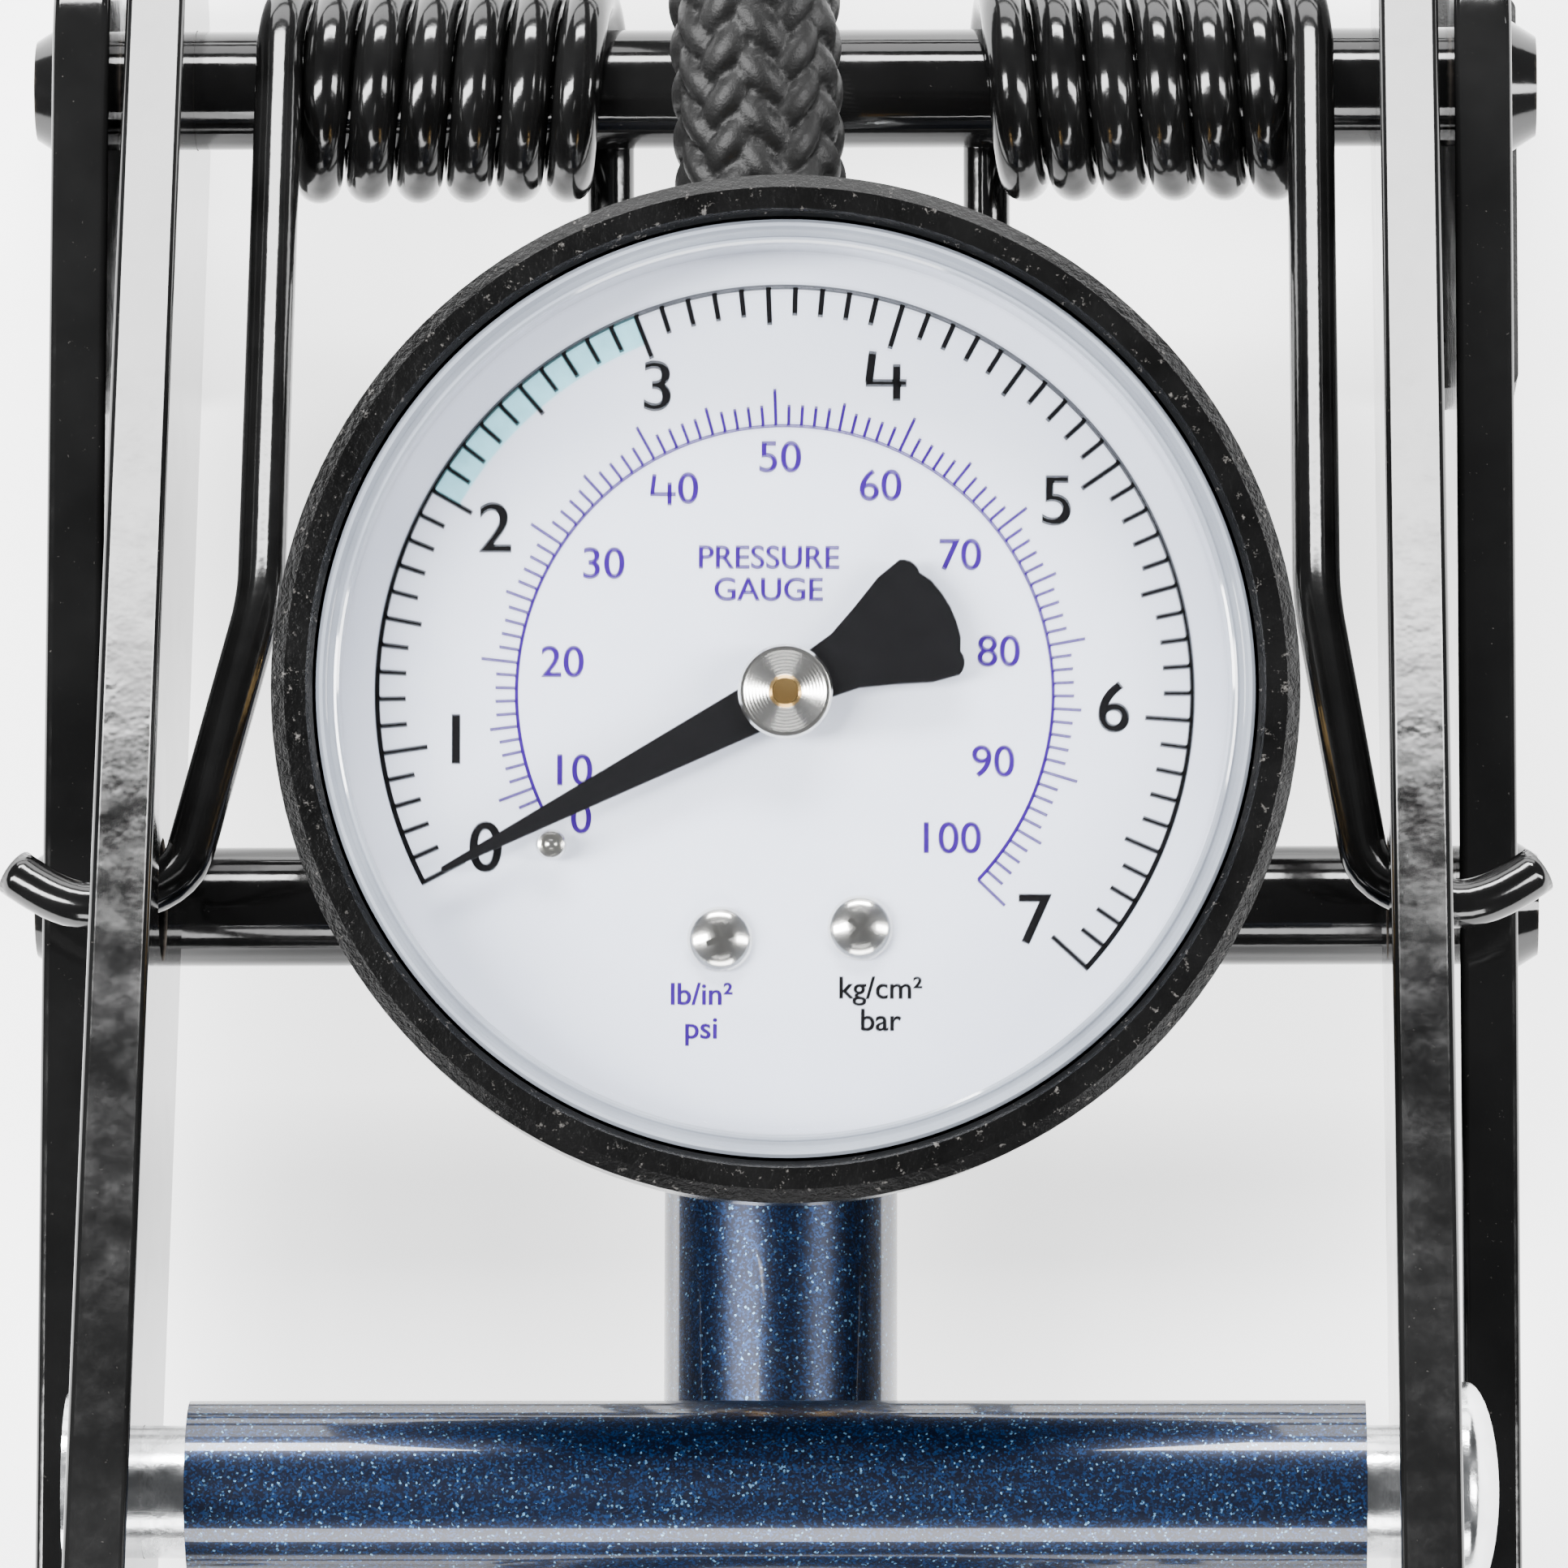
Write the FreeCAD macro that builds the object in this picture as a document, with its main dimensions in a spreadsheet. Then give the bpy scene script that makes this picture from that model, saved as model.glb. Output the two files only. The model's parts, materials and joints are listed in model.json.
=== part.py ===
import FreeCAD, Part
import math
import os
import re
import Sketcher

# Single-cylinder foot pump with a pressure gauge, folded flat.
# +X is to the pump's right, +Y towards the hinge end and the hose, +Z up.
# The origin is on the floor, under the middle of the pump without its hose.

DIMENSIONS = {
    "hinge_y": 124.2213, "hinge_z": 22.0,
    # base frame
    "base_half": 46.0, "bar_thick": 3.6, "bar_half_height": 12.0, "front_reach": 245.0,
    "mid_reach": 51.8, "mid_drop": 7.0, "spacer_r": 3.8, "spacer_bore": 2.6, "rivet_r": 2.55,
    "rivet_head_r": 4.4, "rivet_head_long": 1.9, "front_spacer_r": 3.5,
    "shoe_long": 26.0, "shoe_wide": 6.0, "shoe_high": 8.0, "tab_wide": 20.0,
    # treadle lever
    "arm_inner": 37.66, "arm_thick": 3.74, "arm_half_height": 12.0, "arm_tilt": 18.757,
    "pin_reach": 98.0, "knee_reach": 120.0, "lever_front": 248.0, "leg_hole_reach": 59.5,
    "leg_hole_rise": 3.0, "leg_hole_r": 3.8, "lever_hole_r": 3.87,
    "pedal_long": 72.0, "pedal_thick": 2.0, "flange_high": 8.0, "pad_thick": 4.0, "pad_inset": 3.0,
    "groove_deep": 1.6, "pedal_rivet_r": 1.5, "pedal_rivet_head_r": 2.6, "pedal_rivet_head_long": 1.2,
    "rivet_rise": 8.0,
    "latch_r": 3.5, "pin_r": 4.0, "pin_hole_r": 4.05, "pin_head_r": 6.6, "pin_head_long": 2.5,
    # barrel
    "sleeve_offset": 26.3, "sleeve_r": 5.5, "sleeve_left": 34.9, "sleeve_right": 35.9,
    "barrel_r": 20.0, "barrel_bore": 18.0, "barrel_long": 104.0, "head_r": 21.0,
    "head_back": 3.5, "head_front": 12.0, "pipe_r": 7.3, "pipe_bore": 4.5, "pipe_end": 55.5,
    "cap_r": 21.5, "cap_long": 14.0, "rod_r": 5.0, "bush_r": 7.0, "bush_bore": 5.05,
    "rod_reach": 152.2, "eye_r": 11.0, "eye_bore": 7.1, "eye_wide": 11.0,
    "piston_r": 17.5, "cup_r": 17.95, "piston_gap": 5.2, "piston_thick": 5.0, "cup_thick": 6.0,
    # gauge, in its own frame with z along its axis
    "gauge_y": 43.0, "gauge_lean": 6.0, "gauge_roll": 2.0, "stem_r": 5.0, "case_back": 22.0,
    "case_front": 46.0, "case_r": 30.25, "case_bore": 27.8, "case_floor": 2.0, "dial_r": 27.2,
    "dial_z": 38.0, "dial_thick": 0.8, "lens_r": 27.6, "lens_z": 43.6,
    "spindle_r": 0.75, "pointer_z": 40.2, "pointer_thick": 0.5, "pointer_long": 22.8,
    "zero_angle": 207.6,
    # return spring
    "wire_r": 1.45, "coil_r": 5.75, "coil_pitch": 3.2, "left_coil": 11.4, "right_coil": 12.8,
    "coil_turns": 6.0,
    # hose and valve connector
    "hose_r": 5.4, "barb_r": 3.0, "plug_long": 2.0, "ferrule_long": 7.0, "ferrule_wall": 0.7,
    "chuck_r": 7.0, "chuck_long": 30.0, "chuck_ferrule_long": 9.0, "socket_r": 4.0,
    "thumb_pin_r": 1.25, "thumb_y": 6.0, "thumb_z": 24.0,
    # lock hook
    "hook_x": 24.0, "hook_thick": 3.0,
}

# Control points of the hose's centre line, from the hinge: x, y and height over the hinge.
HOSE_POINTS = [
    (-0.5, -26.0, 10.0), (-1.2, -8.5, 16.0), (-1.6, 7.0, 20.2), (-2.6, 27.0, 20.0),
    (-7.0, 50.0, 11.0), (-18.0, 74.0, -3.5), (-35.5, 98.0, -13.5), (-46.0, 124.0, -16.5),
]
HOSE_LOOP = {"x": 15.0, "y": 133.0, "reach": 63.0, "first": 160.0, "step": 28.0, "count": 7}
LOOP_HEIGHT = -16.55
LOOP_END_HEIGHT = -15.0

# Where the pedal's rivets stand along it, and where the dial's screws stand on it.
RIVET_OFFSETS = (14, 52)
DIAL_SCREWS = ((-3.8, -14.6), (4.5, -13.9))
STOP_PIN = ("-13.8", "-9.05")

doc = FreeCAD.newDocument("FootPump")
sheet = doc.addObject("Spreadsheet::Sheet", "dims")
for row, (alias, value) in enumerate(DIMENSIONS.items(), start=1):
    sheet.set("A%d" % row, alias)
    sheet.set("B%d" % row, str(value))
    sheet.setAlias("B%d" % row, alias)
doc.recompute()

NODES = []


def dim(alias):
    """One driving dimension, read back from the sheet."""
    return float(sheet.get(alias))


def vector(x, y, z):
    return FreeCAD.Vector(x, y, z)


def formula(text):
    """An expression on the sheet's cells."""
    return re.sub(r"[a-z][a-z_0-9]*", lambda word: "dims." + word.group(0), str(text))


def bind(piece, **sizes):
    for name, text in sizes.items():
        piece.setExpression(name, formula(text))


TURN = {
    "x": FreeCAD.Rotation(vector(0, 1, 0), 90),
    "y": FreeCAD.Rotation(vector(1, 0, 0), -90),
    "z": FreeCAD.Rotation(),
}


def put(piece, axis, start):
    """Stand a primitive along an axis, with its start bound to the sheet."""
    piece.Placement = FreeCAD.Placement(vector(0, 0, 0), TURN[axis])
    for letter, text in zip("xyz", start):
        piece.setExpression("Placement.Base." + letter, formula(text))
    return piece


def bar(radius, length, axis, start):
    piece = doc.addObject("Part::Cylinder", "bar")
    bind(piece, Radius=radius, Height=length)
    return put(piece, axis, start)


def cone(radius, end_radius, length, axis, start):
    piece = doc.addObject("Part::Cone", "cone")
    bind(piece, Radius1=radius, Radius2=end_radius, Height=length)
    return put(piece, axis, start)


def block(length, width, height, corner):
    piece = doc.addObject("Part::Box", "block")
    bind(piece, Length=length, Width=width, Height=height)
    return put(piece, "z", corner)


def placed(piece, placement):
    """A copy-free wrapper that gives a primitive or boolean another place."""
    group = doc.addObject("Part::Compound", "placed")
    group.Links = [piece]
    group.Placement = placement
    return group


def join(*pieces):
    union = doc.addObject("Part::MultiFuse", "join")
    union.Shapes = list(pieces)
    union.Refine = True
    return union


def cut(body, *tools):
    result = doc.addObject("Part::Cut", "cut")
    result.Base = body
    result.Tool = tools[0] if len(tools) == 1 else join(*tools)
    return result


def soften(piece, radius, wanted):
    """Round the edges that wanted() picks."""
    doc.recompute()
    edges = [number for number, edge in enumerate(piece.Shape.Edges, start=1) if wanted(edge)]
    rounded = doc.addObject("Part::Fillet", "rounded")
    rounded.Base = piece
    rounded.Edges = [(number, radius, radius) for number in edges]
    return rounded


def node(label, piece):
    piece.Label = label
    NODES.append(piece)
    return piece


def own_plane(body, role):
    return [item for item in body.Origin.OriginFeatures if item.Role == role][0]


def profile(body, plane, outline):
    """A closed polygon whose corners are bound to the sheet."""
    sketch = body.newObject("Sketcher::SketchObject", body.Name + "_profile")
    sketch.AttachmentSupport = [(own_plane(body, plane), "")]
    sketch.MapMode = "FlatFace"
    count = len(outline)
    corners = []
    for number in range(count):
        angle = math.tau * number / count
        corners.append(vector(20 + 10 * math.cos(angle), 10 * math.sin(angle), 0))
    for number in range(count):
        following = (number + 1) % count
        sketch.addGeometry(Part.LineSegment(corners[number], corners[following]), False)
    for number in range(count):
        following = (number + 1) % count
        sketch.addConstraint(Sketcher.Constraint("Coincident", number, 2, following, 1))
    for number, corner in enumerate(outline):
        for kind, text in zip(("DistanceX", "DistanceY"), corner):
            constraint = Sketcher.Constraint(kind, -1, 1, number, 1, 1.0 + number)
            index = sketch.addConstraint(constraint)
            sketch.setExpression("Constraints[%d]" % index, formula(text))
    return sketch


def turned(label, outline, placement=FreeCAD.Placement()):
    """A body of revolution about its own z, from (radius, height) corners."""
    body = doc.addObject("PartDesign::Body", label)
    sketch = profile(body, "XZ_Plane", outline)
    turn = body.newObject("PartDesign::Revolution", label + "_turn")
    turn.Profile = sketch
    turn.ReferenceAxis = (sketch, ["V_Axis"])
    turn.Angle = 360.0
    sketch.Visibility = False
    body.Placement = placement
    return body


def plate(label, outline, thickness):
    """A flat plate cut to a polygon in its own xy plane."""
    body = doc.addObject("PartDesign::Body", label)
    sketch = profile(body, "XY_Plane", outline)
    pad = body.newObject("PartDesign::Pad", label + "_pad")
    pad.Profile = sketch
    bind(pad, Length=thickness)
    return body


def rivet(label, y, z):
    """A round-headed rivet across both base bars."""
    shank = bar("rivet_r", "2 * base_half", "x", ("-base_half", y, z))
    heads = []
    for start, radius, end in (
        ("-base_half - rivet_head_long", "rivet_head_r - 1.2", "rivet_head_r"),
        ("base_half", "rivet_head_r", "rivet_head_r - 1.2"),
    ):
        heads.append(cone(radius, end, "rivet_head_long", "x", (start, y, z)))
    return node(label, join(shank, *heads))


def spacer(label, radius, y, z):
    """A tube over a rivet, between the base bars."""
    length = "2 * base_half - 2 * bar_thick"
    start = ("-base_half + bar_thick", y, z)
    return node(label, cut(bar(radius, length, "x", start), bar("spacer_bore", length, "x", start)))


def in_plane(letter, value):
    """Picks the edges that lie in the plane letter = value."""
    def test(edge):
        points = edge.discretize(5)
        return all(abs(getattr(point, letter) - value) < 0.001 for point in points)
    return test


MID_Y = "hinge_y - mid_reach"
MID_Z = "hinge_z - mid_drop"
FRONT_Y = "hinge_y - front_reach"
tilt = math.radians(dim("arm_tilt"))
pin_y = dim("hinge_y") - dim("pin_reach") * math.cos(tilt)
pin_z = dim("hinge_z") + dim("pin_reach") * math.sin(tilt)
axis_z = pin_z - dim("sleeve_offset")
hinge_point = vector(0, dim("hinge_y"), dim("hinge_z"))
forward = vector(0, -math.cos(tilt), math.sin(tilt))
upward = vector(0, math.sin(tilt), math.cos(tilt))
knee = hinge_point + forward * dim("knee_reach")
lever_tip = vector(0, dim("hinge_y") - dim("lever_front"), knee.z)
latch_point = vector(0, dim("hinge_y") - dim("front_reach"), knee.z)
SIDES = (("left", -1), ("right", 1))


def base_bar(side, sign):
    start_x = "-base_half" if sign < 0 else "base_half - bar_thick"
    bottom = "hinge_z - bar_half_height"
    web = block("bar_thick", "front_reach", "2 * bar_half_height", (start_x, FRONT_Y, bottom))
    rear = bar("bar_half_height", "bar_thick", "x", (start_x, "hinge_y", "hinge_z"))
    front = bar("bar_half_height", "bar_thick", "x", (start_x, FRONT_Y, "hinge_z"))
    tabs = []
    for y in ("hinge_y - 14", "hinge_y - front_reach - 6"):
        tabs.append(block("bar_thick", "tab_wide", "hinge_z", (start_x, y, "2")))
    solid = join(web, rear, front, *tabs)
    holes = [
        bar("rivet_r", "bar_thick", "x", (start_x, "hinge_y", "hinge_z")),
        bar("rivet_r", "bar_thick", "x", (start_x, MID_Y, MID_Z)),
        bar("rivet_r", "bar_thick", "x", (start_x, FRONT_Y, str(axis_z))),
    ]
    faces = (sign * dim("base_half"), sign * (dim("base_half") - dim("bar_thick")))
    rims = [in_plane("x", face) for face in faces]
    rounded = soften(solid, 0.5, lambda edge: any(rim(edge) for rim in rims))
    node("base_bar_" + side, cut(rounded, *holes))


def shoe(label, sign, y):
    """A rubber shoe pushed over a tab of a base bar."""
    middle = "-base_half + bar_thick / 2" if sign < 0 else "base_half - bar_thick / 2"
    start_x = middle + " - shoe_wide / 2"
    body = block("shoe_wide", "shoe_long", "shoe_high", (start_x, y + " - 3", "0"))
    slot_x = "-base_half" if sign < 0 else "base_half - bar_thick"
    slot = block("bar_thick", "tab_wide", "shoe_high", (slot_x, y, "2"))
    upright = soften(body, 1.0, lambda edge: edge.tangentAt(edge.FirstParameter).z ** 2 > 0.99)
    node(label, cut(upright, slot))


def spring_rod(path):
    """Round wire through a list of points, with a slightly swollen knuckle at each bend."""
    wire_r = dim("wire_r")
    solid = Part.makeSphere(wire_r + 0.12, path[0])
    for start, end in zip(path, path[1:]):
        run = end - start
        solid = solid.fuse(Part.makeCylinder(wire_r, run.Length, start, run))
        solid = solid.fuse(Part.makeSphere(wire_r + 0.12, end))
    return solid


def coil(inner, turns):
    """One close coil round the right half of the hinge tube, as a solid of helical wire."""
    pitch = dim("coil_pitch")
    helix = Part.makeHelix(pitch, pitch * turns, dim("coil_r"))
    section = Part.Wire([Part.makeCircle(dim("wire_r"), vector(dim("coil_r"), 0, 0), vector(0, 1, 0))])
    solid = Part.Wire(helix.Edges).makePipeShell([section], True, True)
    solid.Placement = FreeCAD.Placement(vector(inner, dim("hinge_y"), dim("hinge_z")), TURN["x"])
    return solid


def torsion_spring():
    """Double torsion spring: outer legs in the lever arms, inner loop under the mid spacer."""
    hinge_y = dim("hinge_y")
    hinge_z = dim("hinge_z")
    turns = dim("coil_turns") + (math.pi - tilt) / math.tau
    leg_reach = dim("leg_hole_reach")
    low = -(dim("mid_drop") + dim("spacer_r") + dim("wire_r") + 0.3)
    mid_y = hinge_y - dim("mid_reach") - 1
    solids = []
    corners = []
    for sign, inner in ((-1, dim("left_coil")), (1, dim("right_coil"))):
        outer = inner + dim("coil_pitch") * turns
        top = vector(outer, hinge_y, hinge_z) + upward * dim("coil_r")
        through_x = dim("arm_inner") + dim("arm_thick") / 2
        through = vector(through_x, hinge_y, hinge_z)
        through = through + forward * leg_reach + upward * dim("leg_hole_rise")
        inside = top + forward * (leg_reach - 19.5)
        before = vector(dim("arm_inner") - 1, through.y, through.z) - forward * 1.5
        after = through + vector(4.0, 0, 0) + forward * 1.0
        end = through + vector(8.0, 0, 0) - forward * 2.0
        half = coil(inner, turns).fuse(spring_rod([top, inside, before, through, after, end]))
        bottom = vector(inner, hinge_y, hinge_z - dim("coil_r"))
        half = half.fuse(spring_rod([bottom, vector(inner, mid_y, hinge_z + low)]))
        if sign < 0:
            half = half.mirror(vector(0, 0, 0), vector(1, 0, 0))
        solids.append(half)
        corners.append(vector(sign * inner, mid_y, hinge_z + low))
    bight = Part.makeCylinder(dim("wire_r"), corners[1].x - corners[0].x, corners[0], vector(1, 0, 0))
    whole = solids[0].fuse(bight).fuse(solids[1])
    feature = doc.addObject("Part::Feature", "spring")
    feature.Shape = whole
    node("return_spring", feature)


def base():
    for side, sign in SIDES:
        base_bar(side, sign)
        shoe("rear_shoe_" + side, sign, "hinge_y - 14")
        shoe("front_shoe_" + side, sign, "hinge_y - front_reach - 6")
    rivet("hinge_rivet", "hinge_y", "hinge_z")
    rivet("mid_rivet", MID_Y, MID_Z)
    rivet("front_rivet", FRONT_Y, str(axis_z))
    spacer("hinge_tube", "spacer_r", "hinge_y", "hinge_z")
    spacer("mid_tube", "spacer_r", MID_Y, MID_Z)
    spacer("front_tube", "front_spacer_r", FRONT_Y, str(axis_z))
    torsion_spring()


def strap(start_x, start, end):
    """A straight run of a lever arm between two points in the side plane."""
    run = end - start
    piece = doc.addObject("Part::Box", "strap")
    bind(piece, Length="arm_thick", Height="2 * arm_half_height")
    piece.Width = run.Length
    angle = math.degrees(math.atan2(run.z, run.y))
    turn = FreeCAD.Rotation(vector(1, 0, 0), angle)
    corner = vector(start_x, start.y, start.z) + turn.multVec(vector(0, 0, -dim("arm_half_height")))
    piece.Placement = FreeCAD.Placement(corner, turn)
    return piece


def side_disc(radius, length, start_x, point):
    return bar(radius, length, "x", (str(start_x), str(point.y), str(point.z)))


def rivet_points():
    """The side-plane points where rivets hold the pedal between the arms."""
    return [lever_tip + vector(0, offset, dim("rivet_rise")) for offset in RIVET_OFFSETS]


def lever_arm(side, sign):
    inner = dim("arm_inner")
    start_x = inner if sign > 0 else -inner - dim("arm_thick")
    runs = [strap(start_x, hinge_point, knee), strap(start_x, knee, lever_tip)]
    ends = [
        side_disc("arm_half_height", "arm_thick", start_x, point)
        for point in (hinge_point, knee, lever_tip)
    ]
    solid = join(*runs, *ends)
    faces = (sign * inner, sign * (inner + dim("arm_thick")))
    rims = [in_plane("x", face) for face in faces]
    rounded = soften(solid, 0.5, lambda edge: any(rim(edge) for rim in rims))
    pin_point = hinge_point + forward * dim("pin_reach")
    leg_point = hinge_point + forward * dim("leg_hole_reach") + upward * dim("leg_hole_rise")
    holes = [
        side_disc("lever_hole_r", "arm_thick", start_x, hinge_point),
        side_disc("pin_hole_r", "arm_thick", start_x, pin_point),
        side_disc("leg_hole_r", "arm_thick", start_x, leg_point),
        side_disc("latch_r - 1", "arm_thick", start_x, latch_point),
    ]
    for point in rivet_points():
        holes.append(side_disc("pedal_rivet_r", "arm_thick", start_x, point))
    node("lever_arm_" + side, cut(rounded, *holes))


def pedal():
    top = knee.z + dim("arm_half_height")
    front = lever_tip.y - 8
    half = dim("arm_inner") + dim("arm_thick")
    long = "pedal_long"
    wide = "2 * arm_inner + 2 * arm_thick"
    deck = block(wide, long, "pedal_thick", (str(-half), str(front), str(top)))
    under = str(top) + " - flange_high"
    flanges = []
    for start_x in ("-arm_inner", "arm_inner - pedal_thick"):
        flanges.append(block("pedal_thick", long, "flange_high", (start_x, str(front), under)))
    lip = block("2 * arm_inner", "pedal_thick", "flange_high", ("-arm_inner", str(front), under))
    solid = join(deck, lip, *flanges)
    holes = []
    for point in rivet_points():
        holes.append(side_disc("pedal_rivet_r", "2 * arm_inner", -dim("arm_inner"), point))
    rounded = soften(solid, 0.8, in_plane("z", top + dim("pedal_thick")))
    node("pedal_plate", cut(rounded, *holes))
    pad_z = top + dim("pedal_thick")
    pad = block(
        wide + " - 2 * pad_inset", "pedal_long - 2 * pad_inset", "pad_thick",
        (str(-half) + " + pad_inset", str(front) + " + pad_inset", str(pad_z)),
    )
    grooves = []
    for number in range(9):
        y = front + 8 + 7 * number
        floor_z = str(pad_z) + " + pad_thick - groove_deep"
        grooves.append(block("2 * base_half", "2", "2", ("-base_half", str(y), floor_z)))
    corners = soften(pad, 3.0, lambda edge: edge.tangentAt(edge.FirstParameter).z ** 2 > 0.99)
    node("pedal_pad", cut(corners, *grooves))
    shanks = []
    for sign in (-1, 1):
        for point in rivet_points():
            inside = sign * (dim("arm_inner") - dim("pedal_thick"))
            outside = sign * half
            low = min(inside, outside)
            shank = side_disc("pedal_rivet_r", "arm_thick + pedal_thick", low, point)
            head_x = inside - dim("pedal_rivet_head_long") if sign > 0 else inside
            head = side_disc("pedal_rivet_head_r", "pedal_rivet_head_long", head_x, point)
            shanks.append(join(shank, head))
    group = doc.addObject("Part::Compound", "pedal_rivet_group")
    group.Links = shanks
    node("pedal_rivets", group)


def lever():
    for side, sign in SIDES:
        lever_arm(side, sign)
    pedal()
    inner = dim("arm_inner")
    middle = side_disc("latch_r", "2 * arm_inner", -inner, latch_point)
    whole = "2 * arm_inner + 2 * arm_thick"
    tenon = side_disc("latch_r - 1", whole, -inner - dim("arm_thick"), latch_point)
    node("latch_rod", join(middle, tenon))
    pin_point = hinge_point + forward * dim("pin_reach")
    outer = inner + dim("arm_thick")
    shank = side_disc("pin_r", str(2 * outer + 0.9), -outer - 0.9, pin_point)
    head_start = (str(outer), str(pin_point.y), str(pin_point.z))
    head = cone("pin_head_r", "pin_head_r - 1.6", "pin_head_long", "x", head_start)
    node("barrel_pin", join(shank, head))
    ring = side_disc("pin_head_r - 0.6", "0.8", -outer - 0.85, pin_point)
    node("pin_clip", cut(ring, side_disc("pin_r", "0.8", -outer - 0.85, pin_point)))


AXIS_Z = str(axis_z)
HEAD_Y = str(pin_y)


def along_y(radius, start, length):
    """A round piece on the barrel's axis, from start towards the hinge."""
    return bar(radius, length, "y", ("0", HEAD_Y + " + " + str(start), AXIS_Z))


gauge_turn = FreeCAD.Rotation(vector(0, 1, 0), dim("gauge_roll")).multiply(
    FreeCAD.Rotation(vector(1, 0, 0), dim("gauge_lean"))
)
gauge_frame = FreeCAD.Placement(
    vector(0, dim("hinge_y") - dim("gauge_y"), axis_z + dim("pipe_r") - 1.0), gauge_turn
)


def barrel():
    head_back = dim("head_back")
    head_front = dim("head_front")
    tube_start = head_back - 5 - dim("barrel_long")
    node("barrel_tube", cut(
        along_y("barrel_r", tube_start, "barrel_long"), along_y("barrel_bore", tube_start, "barrel_long")))
    block_length = "head_back + head_front"
    head = along_y("head_r", -head_front, block_length)
    seat = along_y("barrel_r", -head_front, "head_back + head_front - 5")
    port = along_y("pipe_r - 1", -head_front, block_length)
    solid = cut(head, seat, port)
    rear = soften(solid, 1.5, in_plane("y", pin_y + head_back))
    node("barrel_head", rear)
    sleeve_length = "sleeve_left + sleeve_right"
    start_x = -dim("sleeve_left")
    pin_point = vector(0, pin_y, pin_z)
    sleeve = side_disc("sleeve_r", sleeve_length, start_x, pin_point)
    bore = side_disc("pin_hole_r", sleeve_length, start_x, pin_point)
    under = along_y("head_r", -head_front, block_length)
    node("pivot_sleeve", cut(sleeve, bore, under))
    pipe_start = head_back - 5
    stem_hole = placed(bar("stem_r", "12", "z", ("0", "0", "-6")), gauge_frame)
    pipe_length = "pipe_end - " + str(pipe_start)
    pipe = along_y("pipe_r", head_back, "pipe_end - head_back")
    spigot = along_y("pipe_r - 1", pipe_start, pipe_length)
    hollow = along_y("pipe_bore", pipe_start, pipe_length)
    node("outlet_pipe", cut(join(pipe, spigot), hollow, stem_hole))
    cap_start = tube_start - dim("cap_long") + 8
    cap = along_y("cap_r", cap_start, "cap_long")
    recess = along_y("barrel_r", tube_start, "8")
    mouth = along_y("bush_r", cap_start, "cap_long")
    rounded = soften(cut(cap, recess, mouth), 1.2, in_plane("y", pin_y + cap_start))
    node("guide_cap", rounded)
    bush_length = str(dim("cap_long") - 8)
    node("rod_bush", cut(
        along_y("bush_r", cap_start, bush_length), along_y("bush_bore", cap_start, bush_length)))
    node("check_valve", cut(
        along_y("pipe_r - 2.3", pipe_start - 1.2, "1.2"), along_y("1.5", pipe_start - 1.2, "1.2")))


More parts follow.
